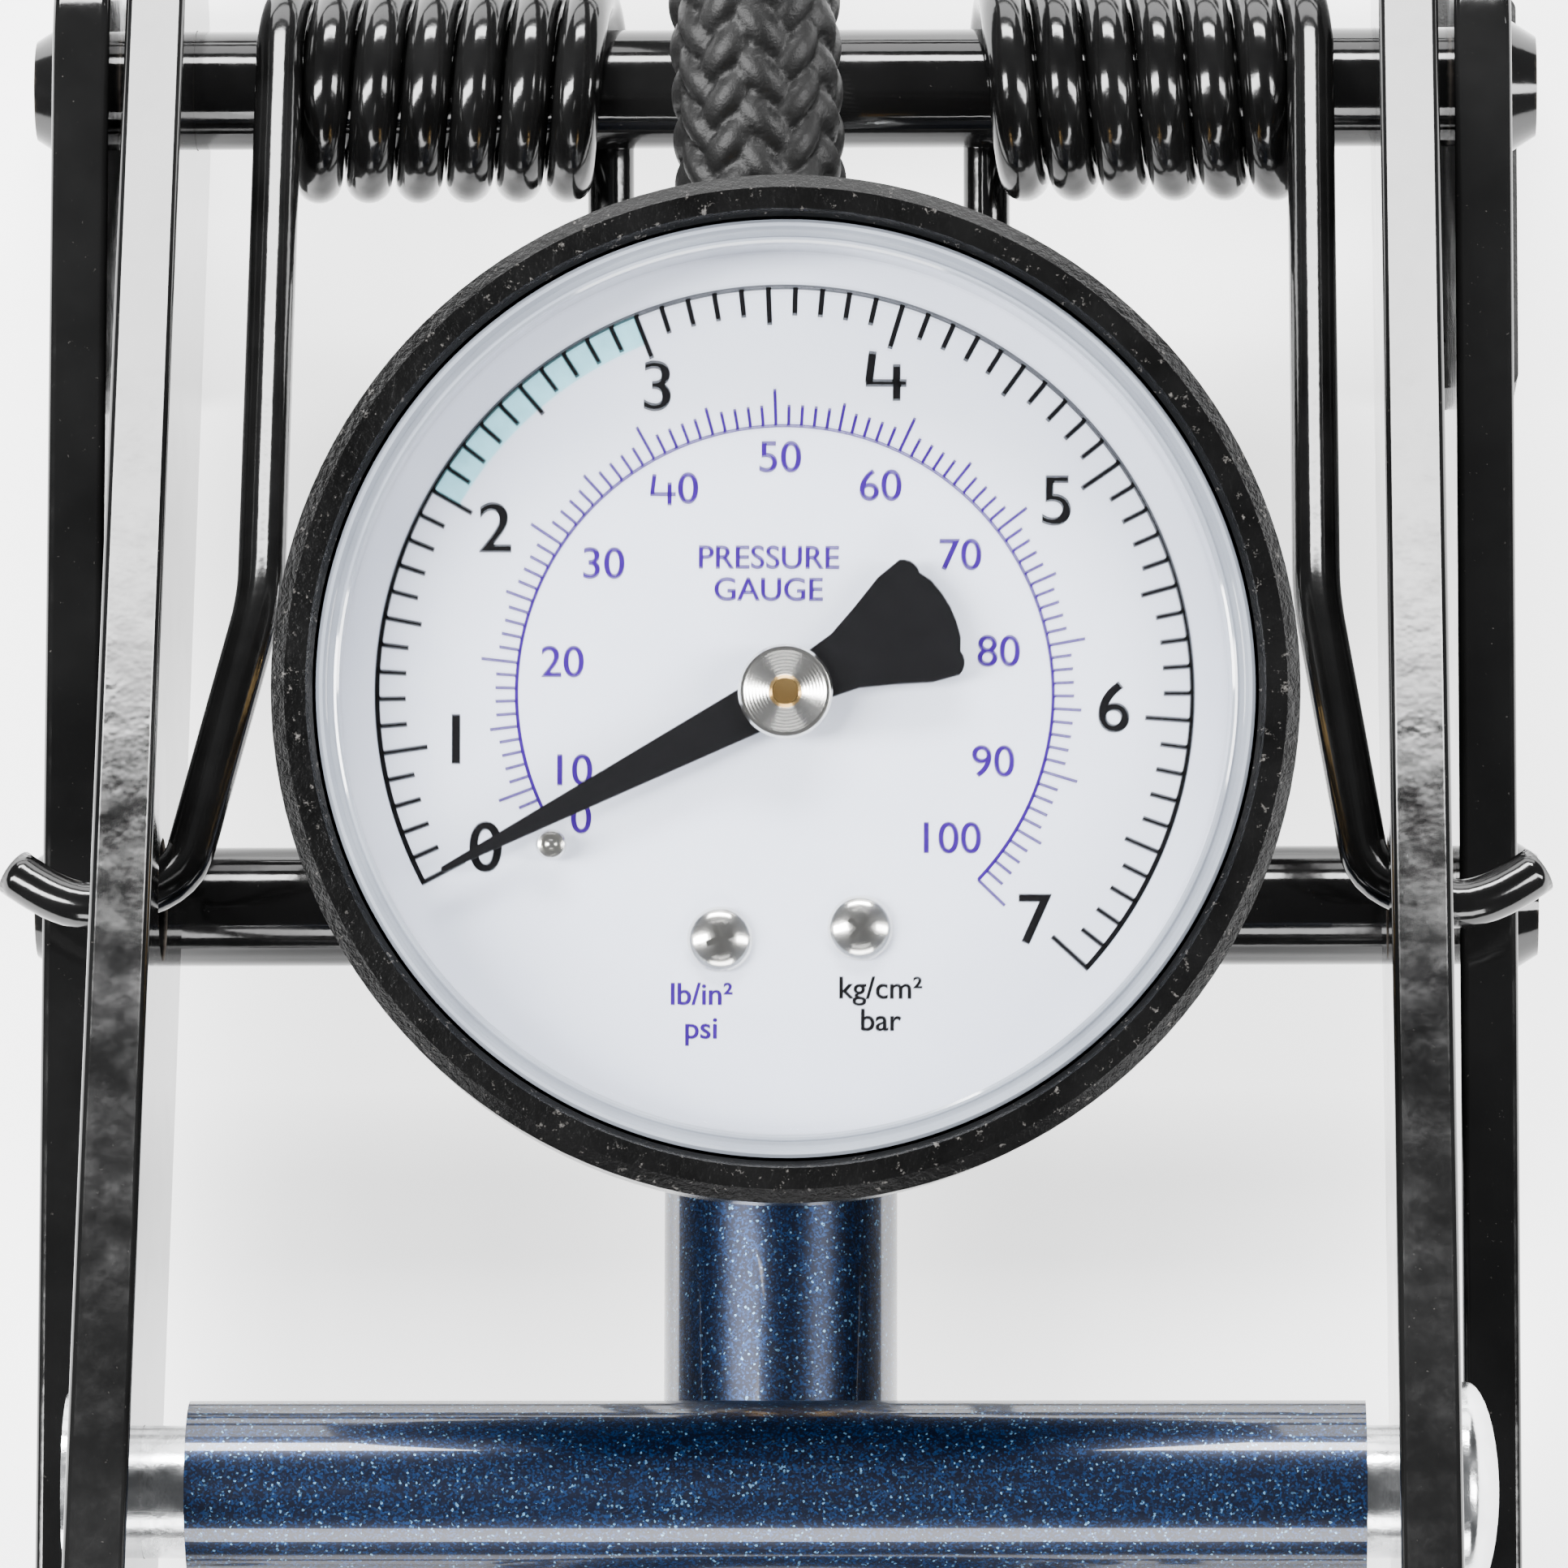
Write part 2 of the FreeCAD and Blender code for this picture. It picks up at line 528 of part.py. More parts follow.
def gauge():
    node("gauge_stem", placed(cut(
        join(
            bar("stem_r", "case_back + case_floor + 5", "z", ("0", "0", "-5")),
            bar("stem_r + 2.5", "6", "z", ("0", "0", "10")),
        ),
        bar("1.5", "case_back + case_floor + 5", "z", ("0", "0", "-5")),
    ), gauge_frame))
    node("gauge_case", turned("gauge_case", [
        ("stem_r", "case_back"), ("case_r - 3", "case_back"), ("case_r", "case_back + 3"),
        ("case_r", "case_front - 0.8"), ("case_r - 0.8", "case_front"),
        ("case_bore + 0.4", "case_front"), ("case_bore", "case_front - 0.6"),
        ("case_bore", "case_back + case_floor"), ("stem_r", "case_back + case_floor"),
    ], gauge_frame))
    blank = turned("dial_blank", [
        ("1.6", "dial_z"), ("dial_r", "dial_z"), ("dial_r", "dial_z + dial_thick"),
        ("1.6", "dial_z + dial_thick"),
    ])
    holes = [bar("0.9", "dial_thick", "z", (str(x), str(y), "dial_z")) for x, y in DIAL_SCREWS]
    node("gauge_dial", placed(cut(blank, *holes), gauge_frame))
    node("gauge_lens", turned("gauge_lens", [
        ("0", "lens_z - 0.6"), ("lens_r - 2.2", "lens_z - 0.6"), ("lens_r - 2.2", "dial_z + dial_thick"),
        ("lens_r", "dial_z + dial_thick"), ("lens_r", "lens_z + 1.4"),
        ("lens_r - 0.6", "lens_z + 2"), ("lens_r - 1.6", "lens_z + 2"),
        ("lens_r - 2.2", "lens_z + 1.2"), ("0", "lens_z + 1.2"),
    ], gauge_frame))
    screws = []
    for x, y in DIAL_SCREWS:
        head = cone("1.95", "1.3", "1.2", "z", (str(x), str(y), "dial_z + dial_thick"))
        slot = block("4.2", "0.5", "0.6", (str(x - 2.1), str(y - 0.25), "dial_z + dial_thick + 0.8"))
        shank = bar("0.9", "4", "z", (str(x), str(y), "dial_z + dial_thick - 4"))
        screws.append(cut(join(head, shank), slot))
    node("dial_screws", placed(join(*screws), gauge_frame))
    stop = bar("0.9", "2.0", "z", (*STOP_PIN, "dial_z + dial_thick"))
    node("stop_pin", placed(stop, gauge_frame))
    tube = doc.addObject("Part::Torus", "bourdon")
    bind(tube, Radius1="case_bore - 8", Radius2="2.4")
    tube.Angle3 = 270
    put(tube, "z", ("0", "0", "case_back + case_floor + 6"))
    node("bourdon_tube", placed(tube, gauge_frame))
    movement = cut(
        join(
            block("20", "12", "1.2", ("-10", "-6", "case_back + case_floor + 4")),
            block("20", "12", "1.2", ("-10", "-6", "case_back + case_floor + 10")),
            block("3", "3", "7.2", ("-9", "-5", "case_back + case_floor + 4")),
            block("3", "3", "7.2", ("6", "2", "case_back + case_floor + 4")),
        ),
        bar("0.82", "12", "z", ("0", "0", "case_back + case_floor + 3")),
    )
    node("gauge_movement", placed(movement, gauge_frame))
    base_z = "case_back + case_floor + 3.5"
    pinion = join(
        bar("spindle_r", "pointer_z + 1.6 - case_back - case_floor - 3.5", "z", ("0", "0", base_z)),
        bar("1.4", "2.6", "z", ("0", "0", "case_back + case_floor + 6")),
    )
    node("pinion_spindle", placed(pinion, gauge_frame))
    to_zero = FreeCAD.Rotation(vector(0, 0, 1), dim("zero_angle"))
    arm_place = gauge_frame.multiply(FreeCAD.Placement(vector(0, 0, dim("pointer_z")), to_zero))
    needle = plate("needle_blank", [
        ("pointer_long", "0.22"), ("3", "1.1"), ("-6.6", "1.5"), ("-10.6", "3.8"), ("-11.8", "0"),
        ("-10.6", "-3.8"), ("-6.6", "-1.5"), ("3", "-1.1"), ("pointer_long", "-0.22"),
    ], "pointer_thick")
    eye = bar("spindle_r", "pointer_thick", "z", ("0", "0", "0"))
    node("gauge_pointer", placed(cut(needle, eye), arm_place))
    node("pointer_hub", turned("pointer_hub", [
        ("spindle_r", "0.5"), ("2.8", "0.5"), ("2.8", "1.1"), ("2.2", "1.6"), ("spindle_r", "1.6"),
    ], arm_place))


hose_start = hinge_point + vector(*HOSE_POINTS[0])
hose_way = (vector(*HOSE_POINTS[1]) - vector(*HOSE_POINTS[0])).normalize()
barb_frame = FreeCAD.Placement(hose_start, FreeCAD.Rotation(vector(0, 0, 1), hose_way))


def fittings():
    """The outlet elbow, with the hose crimped on it."""
    pipe_y = pin_y + dim("pipe_end")
    back = vector(0, pipe_y, axis_z)
    plug = bar("pipe_r", "plug_long", "y", ("0", str(pipe_y), AXIS_Z))
    reach = (hose_start - back).Length
    tail = placed(bar("barb_r", str(reach - 2), "z", ("0", "0", str(1 - reach))), barb_frame)
    node("hose_elbow", join(plug, tail))
    back_end = ("0", "0", "-ferrule_long")
    shell = bar("hose_r + ferrule_wall", "ferrule_long", "z", back_end)
    rim = bar("hose_r + 1.2", "1.2", "z", back_end)
    bore = bar("barb_r", "ferrule_long - 1", "z", back_end)
    node("hose_ferrule", placed(cut(join(shell, rim), bore), barb_frame))


def piston():
    rod_reach = dim("rod_reach")
    top = dim("head_back") - 5 - dim("piston_gap")
    disc_y = top - dim("piston_thick")
    cup_y = disc_y - dim("cup_thick")
    rod_start = -rod_reach + dim("eye_r") - 2
    eye_point = vector(0, pin_y - rod_reach, axis_z)
    eye = side_disc("eye_r", "eye_wide", -dim("eye_wide") / 2, eye_point)
    eye_hole = side_disc("eye_bore", "eye_wide", -dim("eye_wide") / 2, eye_point)
    neck = along_y("3", cup_y, "piston_thick + cup_thick + 3")
    stem = along_y("rod_r", rod_start, str(cup_y - rod_start))
    node("piston_rod", cut(join(stem, neck, eye), eye_hole))
    node("piston_cup", cut(along_y("cup_r", cup_y, "cup_thick"), along_y("3", cup_y, "cup_thick")))
    disc = along_y("piston_r", disc_y, "piston_thick")
    node("piston_disc", cut(disc, along_y("3", disc_y, "piston_thick")))
    node("piston_nut", cut(along_y("6", top, "3"), along_y("3", top, "3")))


def hose_route():
    points = [hinge_point + vector(*point) for point in HOSE_POINTS]
    for number in range(HOSE_LOOP["count"]):
        angle = math.radians(HOSE_LOOP["first"] - HOSE_LOOP["step"] * number)
        x = HOSE_LOOP["x"] + HOSE_LOOP["reach"] * math.cos(angle)
        y = HOSE_LOOP["y"] + HOSE_LOOP["reach"] * math.sin(angle)
        lift = LOOP_HEIGHT if number < HOSE_LOOP["count"] - 1 else LOOP_END_HEIGHT
        points.append(hinge_point + vector(x, y, lift))
    return points


def rounded_path(points):
    """Straight runs joined by tangent arcs, each as large as its runs allow."""
    edges = []
    radii = []
    here = points[0]
    for before, corner, after in zip(points, points[1:], points[2:]):
        into = corner - before
        out = after - corner
        turn = into.getAngle(out)
        shorter = min(into.Length, out.Length)
        radius = 0.45 * shorter / math.tan(turn / 2)
        radii.append(radius)
        cut_back = 0.45 * shorter
        first = corner - vector(*into).normalize() * cut_back
        last = corner + vector(*out).normalize() * cut_back
        bisector = vector(*out).normalize() - vector(*into).normalize()
        bisector.normalize()
        middle = corner + bisector * (radius / math.cos(turn / 2) - radius)
        edges.append(Part.LineSegment(here, first).toShape())
        edges.append(Part.Arc(first, middle, last).toShape())
        here = last
    edges.append(Part.LineSegment(here, points[-1]).toShape())
    return Part.Wire(edges), radii


def hose():
    points = hose_route()
    path, radii = rounded_path(points)
    start_way = path.Edges[0].tangentAt(path.Edges[0].FirstParameter)
    section = Part.Wire([Part.makeCircle(dim("hose_r"), points[0], start_way)])
    solid = path.makePipeShell([section], True, False)
    expected = math.pi * dim("hose_r") ** 2 * path.Length
    print("hose length %.1f, radii %s" % (path.Length, [round(radius) for radius in radii]))
    print("hose volume %.0f of %.0f" % (solid.Volume, expected))
    feature = doc.addObject("Part::Feature", "hose")
    feature.Shape = solid
    node("hose_run", feature)
    return points[-1], (points[-1] - points[-2]).normalize()


def chuck(end, way):
    """The thumb-lock valve connector on the hose's far end."""
    across = vector(0, 0, 1).cross(way)
    frame = FreeCAD.Placement(end, FreeCAD.Rotation(across, vector(0, 0, 1), way, "ZXY"))
    node("chuck_ferrule", placed(
        bar("hose_r + 1.0", "chuck_ferrule_long", "z", ("0", "0", "0")), frame))
    pin_start = ("-5.5", "thumb_y", "thumb_z")
    seal_start = ("0", "0", "chuck_long - 1")
    shell = cut(
        join(
            bar("chuck_r", "chuck_long", "z", ("0", "0", "chuck_ferrule_long")),
            block("11", "9", "12", ("-5.5", "0", "18")),
        ),
        bar("socket_r + 1.4", "10", "z", seal_start),
        bar("socket_r - 2", "chuck_long", "z", ("0", "0", "chuck_ferrule_long")),
        block("5", "8.8", "14", ("-2.5", "3.2", "17")),
        bar("thumb_pin_r", "11", "x", pin_start),
    )
    node("chuck_body", placed(shell, frame))
    node("chuck_seal", placed(cut(
        bar("socket_r + 1.4", "10", "z", seal_start), bar("socket_r", "10", "z", seal_start),
    ), frame))
    node("chuck_pin", placed(bar("thumb_pin_r", "11", "x", pin_start), frame))
    thumb = cut(
        join(
            bar("2.6", "4.4", "x", ("-2.2", "thumb_y + 0.9", "thumb_z")),
            block("4.4", "2.4", "16", ("-2.2", "7.1", "8")),
            block("9", "2.0", "12", ("-4.5", "7.6", "-4")),
        ),
        bar("thumb_pin_r + 0.06", "5", "x", ("-2.5", "thumb_y", "thumb_z")),
    )
    node("chuck_lever", placed(thumb, frame))
    pivot = frame.multVec(vector(0, dim("thumb_y"), dim("thumb_z")))
    mouth = frame.multVec(vector(0, 0, dim("chuck_long") + dim("chuck_ferrule_long")))
    print("chuck lever pivot", pivot, "axis", frame.Rotation.multVec(vector(1, 0, 0)))
    print("chuck mouth", mouth, "way", way)


def lock_hook():
    """A flat hook that lies back on the front tube and swings up over the latch rod."""
    pivot = vector(dim("hook_x"), dim("hinge_y") - dim("front_reach"), axis_z)
    reach = latch_point.z - axis_z
    boss = bar("7", "hook_thick", "x", ("0", "0", "0"))
    shank = block("hook_thick", "11", str(reach - 5.0), ("0", "-3", "0"))
    back = block("hook_thick", "4.6", "16", ("0", "4.4", str(reach - 7)))
    lip = block("hook_thick", "11.5", "4.4", ("0", "-2.5", str(reach + 4.6)))
    eye = bar("front_spacer_r + 0.08", "hook_thick", "x", ("0", "0", "0"))
    lying = FreeCAD.Placement(pivot, FreeCAD.Rotation(vector(1, 0, 0), -90))
    node("lock_hook", placed(cut(join(boss, shank, back, lip), eye), lying))


base()
lever()
barrel()
gauge()
fittings()
piston()
chuck(*hose())
lock_hook()
doc.recompute()

for piece in doc.Objects:
    if "Invalid" in piece.State or "Error" in piece.State:
        raise RuntimeError("%s failed: %s" % (piece.Label, piece.State))
os.makedirs("parts", exist_ok=True)
for piece in NODES:
    if piece.Shape.isNull() or not piece.Shape.isValid() or not piece.Shape.Solids:
        raise RuntimeError("%s has no valid shape" % piece.Label)
for piece in NODES:
    piece.Shape.exportStep("parts/%s.step" % piece.Label)

pump = [piece.Shape.BoundBox for piece in NODES if not piece.Label.startswith(("hose_run", "chuck"))]
low = [min(getattr(box, side) for box in pump) for side in ("XMin", "YMin", "ZMin")]
high = [max(getattr(box, side) for box in pump) for side in ("XMax", "YMax", "ZMax")]
print("nodes", len(NODES), "pump box", low, high)
print("pin", pin_y, pin_z, "barrel axis height", axis_z, "latch", latch_point)
print("gauge axis", gauge_turn.multVec(vector(0, 0, 1)), "gauge at", gauge_frame.Base)
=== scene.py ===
import json
import math

import bmesh
import bpy
from mathutils import Matrix, Vector


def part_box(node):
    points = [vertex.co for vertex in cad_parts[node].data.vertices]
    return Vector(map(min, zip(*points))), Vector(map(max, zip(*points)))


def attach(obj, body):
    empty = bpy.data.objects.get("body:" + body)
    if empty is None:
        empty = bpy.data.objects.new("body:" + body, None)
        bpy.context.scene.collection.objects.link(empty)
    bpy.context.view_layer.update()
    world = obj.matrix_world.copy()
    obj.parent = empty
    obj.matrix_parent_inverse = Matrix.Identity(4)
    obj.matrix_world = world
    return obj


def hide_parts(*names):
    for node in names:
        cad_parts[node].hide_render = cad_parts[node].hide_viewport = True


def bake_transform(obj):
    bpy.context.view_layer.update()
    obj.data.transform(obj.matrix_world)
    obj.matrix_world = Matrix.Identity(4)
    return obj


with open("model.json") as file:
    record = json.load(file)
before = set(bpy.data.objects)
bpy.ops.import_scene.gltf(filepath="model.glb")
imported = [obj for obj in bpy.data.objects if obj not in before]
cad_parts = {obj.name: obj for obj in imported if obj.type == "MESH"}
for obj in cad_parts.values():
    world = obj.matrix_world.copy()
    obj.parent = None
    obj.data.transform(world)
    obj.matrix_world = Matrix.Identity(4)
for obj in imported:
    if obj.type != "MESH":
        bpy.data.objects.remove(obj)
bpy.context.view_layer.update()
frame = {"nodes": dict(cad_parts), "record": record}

MM = 0.001
JOINTS = {joint["name"]: joint for joint in frame["record"]["behaviour"]["joints"]}
HINGE = (Vector(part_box("hinge_tube")[0]) + Vector(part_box("hinge_tube")[1])) / 2
PIN = Vector(JOINTS["barrel_pivot"]["pos_m"])
LEVER_TILT = math.atan2(PIN.z - HINGE.z, HINGE.y - PIN.y)
GAUGE_Z = -Vector(JOINTS["gauge_needle"]["axis"]).normalized()
GAUGE_X = Vector((0, 1, 0)).cross(GAUGE_Z).normalized()
GAUGE_Y = GAUGE_Z.cross(GAUGE_X)
GAUGE_POINT = Vector(JOINTS["gauge_needle"]["pos_m"])
GAUGE_POINT_HEIGHT = 40.0

# Heights in the gauge, in millimetres along its axis from its foot.
DIAL_TOP, POINTER_Z = 38.8, 40.2


# ---------------------------------------------------------------- materials

class Nodes:
    """A material's node tree, with short calls for the nodes used here."""

    def __init__(self, name):
        self.material = bpy.data.materials.new(name)
        self.material.use_nodes = True
        self.tree = self.material.node_tree
        self.shader = self.tree.nodes["Principled BSDF"]

    def add(self, kind, **settings):
        node = self.tree.nodes.new(kind)
        for key, value in settings.items():
            setattr(node, key, value)
        return node

    def link(self, start, end):
        self.tree.links.new(start, end)

    def set(self, **values):
        for key, value in values.items():
            self.shader.inputs[key.replace("_", " ")].default_value = value

    def place(self):
        return self.add("ShaderNodeTexCoord").outputs["Object"]

    def noise(self, scale, detail=4.0, roughness=0.6):
        node = self.add("ShaderNodeTexNoise")
        node.inputs["Scale"].default_value = scale
        node.inputs["Detail"].default_value = detail
        node.inputs["Roughness"].default_value = roughness
        self.link(self.place(), node.inputs["Vector"])
        return node.outputs["Fac"]

    def ramp(self, source, stops):
        node = self.add("ShaderNodeValToRGB")
        elements = node.color_ramp.elements
        while len(elements) < len(stops):
            elements.new(0.5)
        for element, (place, colour) in zip(elements, stops):
            element.position = place
            element.color = (*colour, 1.0)
        self.link(source, node.inputs["Fac"])
        return node.outputs["Color"]

    def mix(self, factor, first, second):
        node = self.add("ShaderNodeMix", data_type="RGBA")
        self.link(factor, node.inputs["Factor"])
        for value, socket in ((first, node.inputs[6]), (second, node.inputs[7])):
            if isinstance(value, tuple):
                socket.default_value = (*value, 1.0)
            else:
                self.link(value, socket)
        return node.outputs[2]

    def math(self, operation, first, second):
        node = self.add("ShaderNodeMath", operation=operation)
        for value, socket in ((first, node.inputs[0]), (second, node.inputs[1])):
            if isinstance(value, (int, float)):
                socket.default_value = value
            else:
                self.link(value, socket)
        return node.outputs[0]

    def bump(self, height, strength, distance):
        node = self.add("ShaderNodeBump")
        node.inputs["Strength"].default_value = strength
        node.inputs["Distance"].default_value = distance
        self.link(height, node.inputs["Height"])
        self.link(node.outputs["Normal"], self.shader.inputs["Normal"])

    def edges(self, radius):
        """More than 0 near a sharp edge, and 0 away from it."""
        bevel = self.add("ShaderNodeBevel", samples=6)
        bevel.inputs["Radius"].default_value = radius
        geometry = self.add("ShaderNodeNewGeometry")
        dot = self.add("ShaderNodeVectorMath", operation="DOT_PRODUCT")
        self.link(bevel.outputs["Normal"], dot.inputs[0])
        self.link(geometry.outputs["Normal"], dot.inputs[1])
        return self.math("SUBTRACT", 1.0, dot.outputs["Value"])


def grey(value):
    return (value, value, value)


def black_paint():
    """Glossy black paint, worn through in specks along the edges."""
    m = Nodes("black_paint")
    m.set(Roughness=0.1, Specular_IOR_Level=0.42)
    edge = m.edges(0.0007)
    speck = m.noise(1100.0, 3.0, 0.75)
    wear = m.math("MULTIPLY", edge, speck)
    chips = m.ramp(wear, [(0.1, grey(0.0)), (0.17, grey(1.0))])
    dust = m.ramp(m.noise(2600.0, 2.0, 0.8), [(0.71, grey(0.0)), (0.8, grey(1.0))])
    tone = m.ramp(m.noise(60.0), [(0.3, grey(0.0025)), (0.75, grey(0.007))])
    dusty = m.mix(dust, tone, (0.045, 0.043, 0.04))
    colour = m.mix(chips, dusty, (0.2, 0.17, 0.145))
    m.link(colour, m.shader.inputs["Base Color"])
    rough = m.ramp(m.noise(260.0, 5.0, 0.7), [(0.35, grey(0.05)), (0.75, grey(0.15))])
    m.link(rough, m.shader.inputs["Roughness"])
    m.bump(m.noise(170.0, 4.0), 0.055, 0.0004)
    return m.material


def spring_paint():
    """Thick glossy paint on the spring wire."""
    m = Nodes("black_spring")
    m.set(Roughness=0.12, Specular_IOR_Level=0.5)
    tone = m.ramp(m.noise(150.0), [(0.35, grey(0.002)), (0.8, grey(0.007))])
    m.link(tone, m.shader.inputs["Base Color"])
    m.bump(m.noise(450.0, 3.0), 0.08, 0.0003)
    return m.material


def blue_sparkle():
    """Deep navy lacquer full of fine pale flakes."""
    m = Nodes("blue_paint")
    m.set(Metallic=0.6, Roughness=0.3, Coat_Weight=0.8, Coat_Roughness=0.05, Coat_IOR=1.45)
    navy = [(0.3, (0.0002, 0.0016, 0.0085)), (0.75, (0.0004, 0.0032, 0.016))]
    base = m.ramp(m.noise(35.0), navy)
    flakes = m.add("ShaderNodeTexVoronoi", feature="F1")
    flakes.inputs["Scale"].default_value = 8200.0
    m.link(m.place(), flakes.inputs["Vector"])
    shade = m.add("ShaderNodeSeparateColor")
    m.link(flakes.outputs["Color"], shade.inputs["Color"])
    glint = m.ramp(shade.outputs["Red"], [(0.55, grey(0.0)), (1.0, grey(1.0))])
    coloured = m.mix(glint, base, (0.002, 0.026, 0.1))
    bright = m.ramp(shade.outputs["Green"], [(0.96, grey(0.0)), (1.0, grey(1.0))])
    m.link(m.mix(bright, coloured, (0.12, 0.3, 0.5)), m.shader.inputs["Base Color"])
    m.bump(shade.outputs["Blue"], 0.3, 0.00005)
    return m.material


def zinc():
    """Bright zinc plate, lightly streaked."""
    m = Nodes("zinc_steel")
    m.set(Metallic=1.0, Roughness=0.22)
    plate = [(0.25, (0.42, 0.43, 0.44)), (0.7, (0.86, 0.87, 0.88))]
    tone = m.ramp(m.noise(130.0, 6.0, 0.7), plate)
    m.link(tone, m.shader.inputs["Base Color"])
    rough = m.ramp(m.noise(400.0), [(0.3, grey(0.12)), (0.8, grey(0.36))])
    m.link(rough, m.shader.inputs["Roughness"])
    m.bump(m.noise(700.0, 4.0), 0.12, 0.0003)
    return m.material


def metal(name, dark, light, roughness):
    """Turned or plated metal with faint clouding."""
    m = Nodes(name)
    m.set(Metallic=1.0, Roughness=roughness)
    tone = m.ramp(m.noise(260.0, 5.0), [(0.3, dark), (0.75, light)])
    m.link(tone, m.shader.inputs["Base Color"])
    m.bump(m.noise(900.0, 3.0), 0.06, 0.0002)
    return m.material


def grained(name, low, high, roughness, scale, strength):
    """Moulded plastic or rubber with a fine grain."""
    m = Nodes(name)
    m.set(Roughness=roughness)
    tone = m.ramp(m.noise(scale * 0.3), [(0.3, grey(low)), (0.8, grey(high))])
    m.link(tone, m.shader.inputs["Base Color"])
    m.bump(m.noise(scale, 4.0, 0.7), strength, 0.0005)
    return m.material


def case_plastic():
    """Black rim with pale crushed specks in its grain."""
    m = Nodes("case_plastic")
    m.set(Roughness=0.22, Specular_IOR_Level=0.16)
    specks = m.ramp(m.noise(1500.0, 3.0, 0.8), [(0.62, grey(0.0)), (0.74, grey(1.0))])
    tone = m.ramp(m.noise(200.0), [(0.3, grey(0.001)), (0.8, grey(0.004))])
    m.link(m.mix(specks, tone, (0.08, 0.076, 0.072)), m.shader.inputs["Base Color"])
    m.bump(m.noise(1100.0, 4.0, 0.7), 0.3, 0.0003)
    return m.material


def dial_face():
    """Satin pale paint, a little mottled."""
    m = Nodes("dial_print")
    m.set(Roughness=0.5, Specular_IOR_Level=0.15)
    pale = [(0.3, (0.6, 0.64, 0.75)), (0.75, (0.65, 0.69, 0.79))]
    tone = m.ramp(m.noise(90.0, 6.0, 0.7), pale)
    m.link(tone, m.shader.inputs["Base Color"])
    m.bump(m.noise(1600.0, 2.0), 0.04, 0.0002)
    return m.material


def ink(name, colour):
    """Printed ink, slightly uneven."""
    m = Nodes(name)
    m.set(Roughness=0.6, Specular_IOR_Level=0.08)
    paler = tuple(min(1.0, part * 1.35 + 0.001) for part in colour)
    tone = m.ramp(m.noise(700.0), [(0.3, colour), (0.85, paler)])
    m.link(tone, m.shader.inputs["Base Color"])
    return m.material


def clear_window():
    """Clear moulded cover, all but invisible, with a trace of gloss."""
    m = Nodes("clear_lens")
    m.set(Roughness=0.02, IOR=1.45, Transmission_Weight=1.0, Alpha=0.15)
    tone = m.ramp(m.noise(40.0), [(0.3, grey(0.97)), (0.8, grey(1.0))])
    m.link(tone, m.shader.inputs["Base Color"])
    return m.material


def clear_rim():
    """The thick clear edge of the cover, drawn opaque and glossy, with painted light in its
    grey-blue colour.
    """
    m = Nodes("clear_rim")
    m.set(Roughness=0.06, Specular_IOR_Level=0.9, IOR=1.49)
    # Painted light: this grey-blue colour stands in for the light seen through the clear
    # plastic of the edge, which is drawn opaque.
    tone = m.ramp(m.noise(70.0), [(0.3, (0.2, 0.22, 0.26)), (0.8, (0.3, 0.33, 0.38))])
    m.link(tone, m.shader.inputs["Base Color"])
    return m.material


def braid_cloth():
    """Black woven textile over the hose."""
    m = Nodes("hose_braid")
    m.set(Roughness=0.46, Specular_IOR_Level=0.25)
    tone = m.ramp(m.noise(500.0, 5.0), [(0.3, grey(0.0015)), (0.8, grey(0.007))])
    m.link(tone, m.shader.inputs["Base Color"])
    m.bump(m.noise(3200.0, 2.0), 0.16, 0.00025)
    return m.material


# ---------------------------------------------------------------- mesh helpers

def finish_piece(name, mesh, material, smooth=True):
    piece = bpy.data.objects.new(name, mesh)
    bpy.context.scene.collection.objects.link(piece)
    mesh.materials.clear()
    mesh.materials.append(material)
    for polygon in mesh.polygons:
        polygon.use_smooth = smooth
    return piece


def gauge_spot(x, y, z):
    """A point given in the gauge's own frame, in millimetres."""
    reach = GAUGE_X * x + GAUGE_Y * y + GAUGE_Z * (z - GAUGE_POINT_HEIGHT)
    return GAUGE_POINT + reach * MM


def gauge_matrix(x, y, z, turn=0.0):
    axes = Matrix((GAUGE_X, GAUGE_Y, GAUGE_Z)).transposed().to_4x4()
    place = Matrix.Translation(gauge_spot(x, y, z))
    return place @ axes @ Matrix.Rotation(math.radians(turn), 4, "Z") @ Matrix.Scale(MM, 4)


def lathe(name, outline, matrix, material, steps=160, sharp=32):
    """A turned solid from (radius, height) corners in millimetres."""
    work = bmesh.new()
    rings = []
    for radius, height in outline:
        if radius < 1e-6:
            rings.append([work.verts.new((0, 0, height))])
            continue
        ring = []
        for number in range(steps):
            angle = math.tau * number / steps
            spot = (radius * math.cos(angle), radius * math.sin(angle), height)
            ring.append(work.verts.new(spot))
        rings.append(ring)
    pairs = list(zip(rings, rings[1:]))
    if len(rings[0]) > 1 and len(rings[-1]) > 1:
        pairs.append((rings[-1], rings[0]))
    for first, second in pairs:
        for number in range(steps):
            after = (number + 1) % steps
            if len(first) == 1:
                work.faces.new((first[0], second[after], second[number]))
            elif len(second) == 1:
                work.faces.new((first[number], first[after], second[0]))
            else:
                work.faces.new((first[number], first[after], second[after], second[number]))
    bmesh.ops.recalc_face_normals(work, faces=work.faces)
    mesh = bpy.data.meshes.new(name)
    work.to_mesh(mesh)
    work.free()
    mesh.transform(matrix)
    piece = finish_piece(name, mesh, material)
    mark_sharp(piece, sharp)
    return piece


def mark_sharp(piece, degrees):
    """Shade smoothly, except over corners sharper than that."""
    limit = math.radians(degrees)
    work = bmesh.new()
    work.from_mesh(piece.data)
    for edge in work.edges:
        edge.smooth = not (len(edge.link_faces) == 2 and edge.calc_face_angle() > limit)
    work.to_mesh(piece.data)
    work.free()


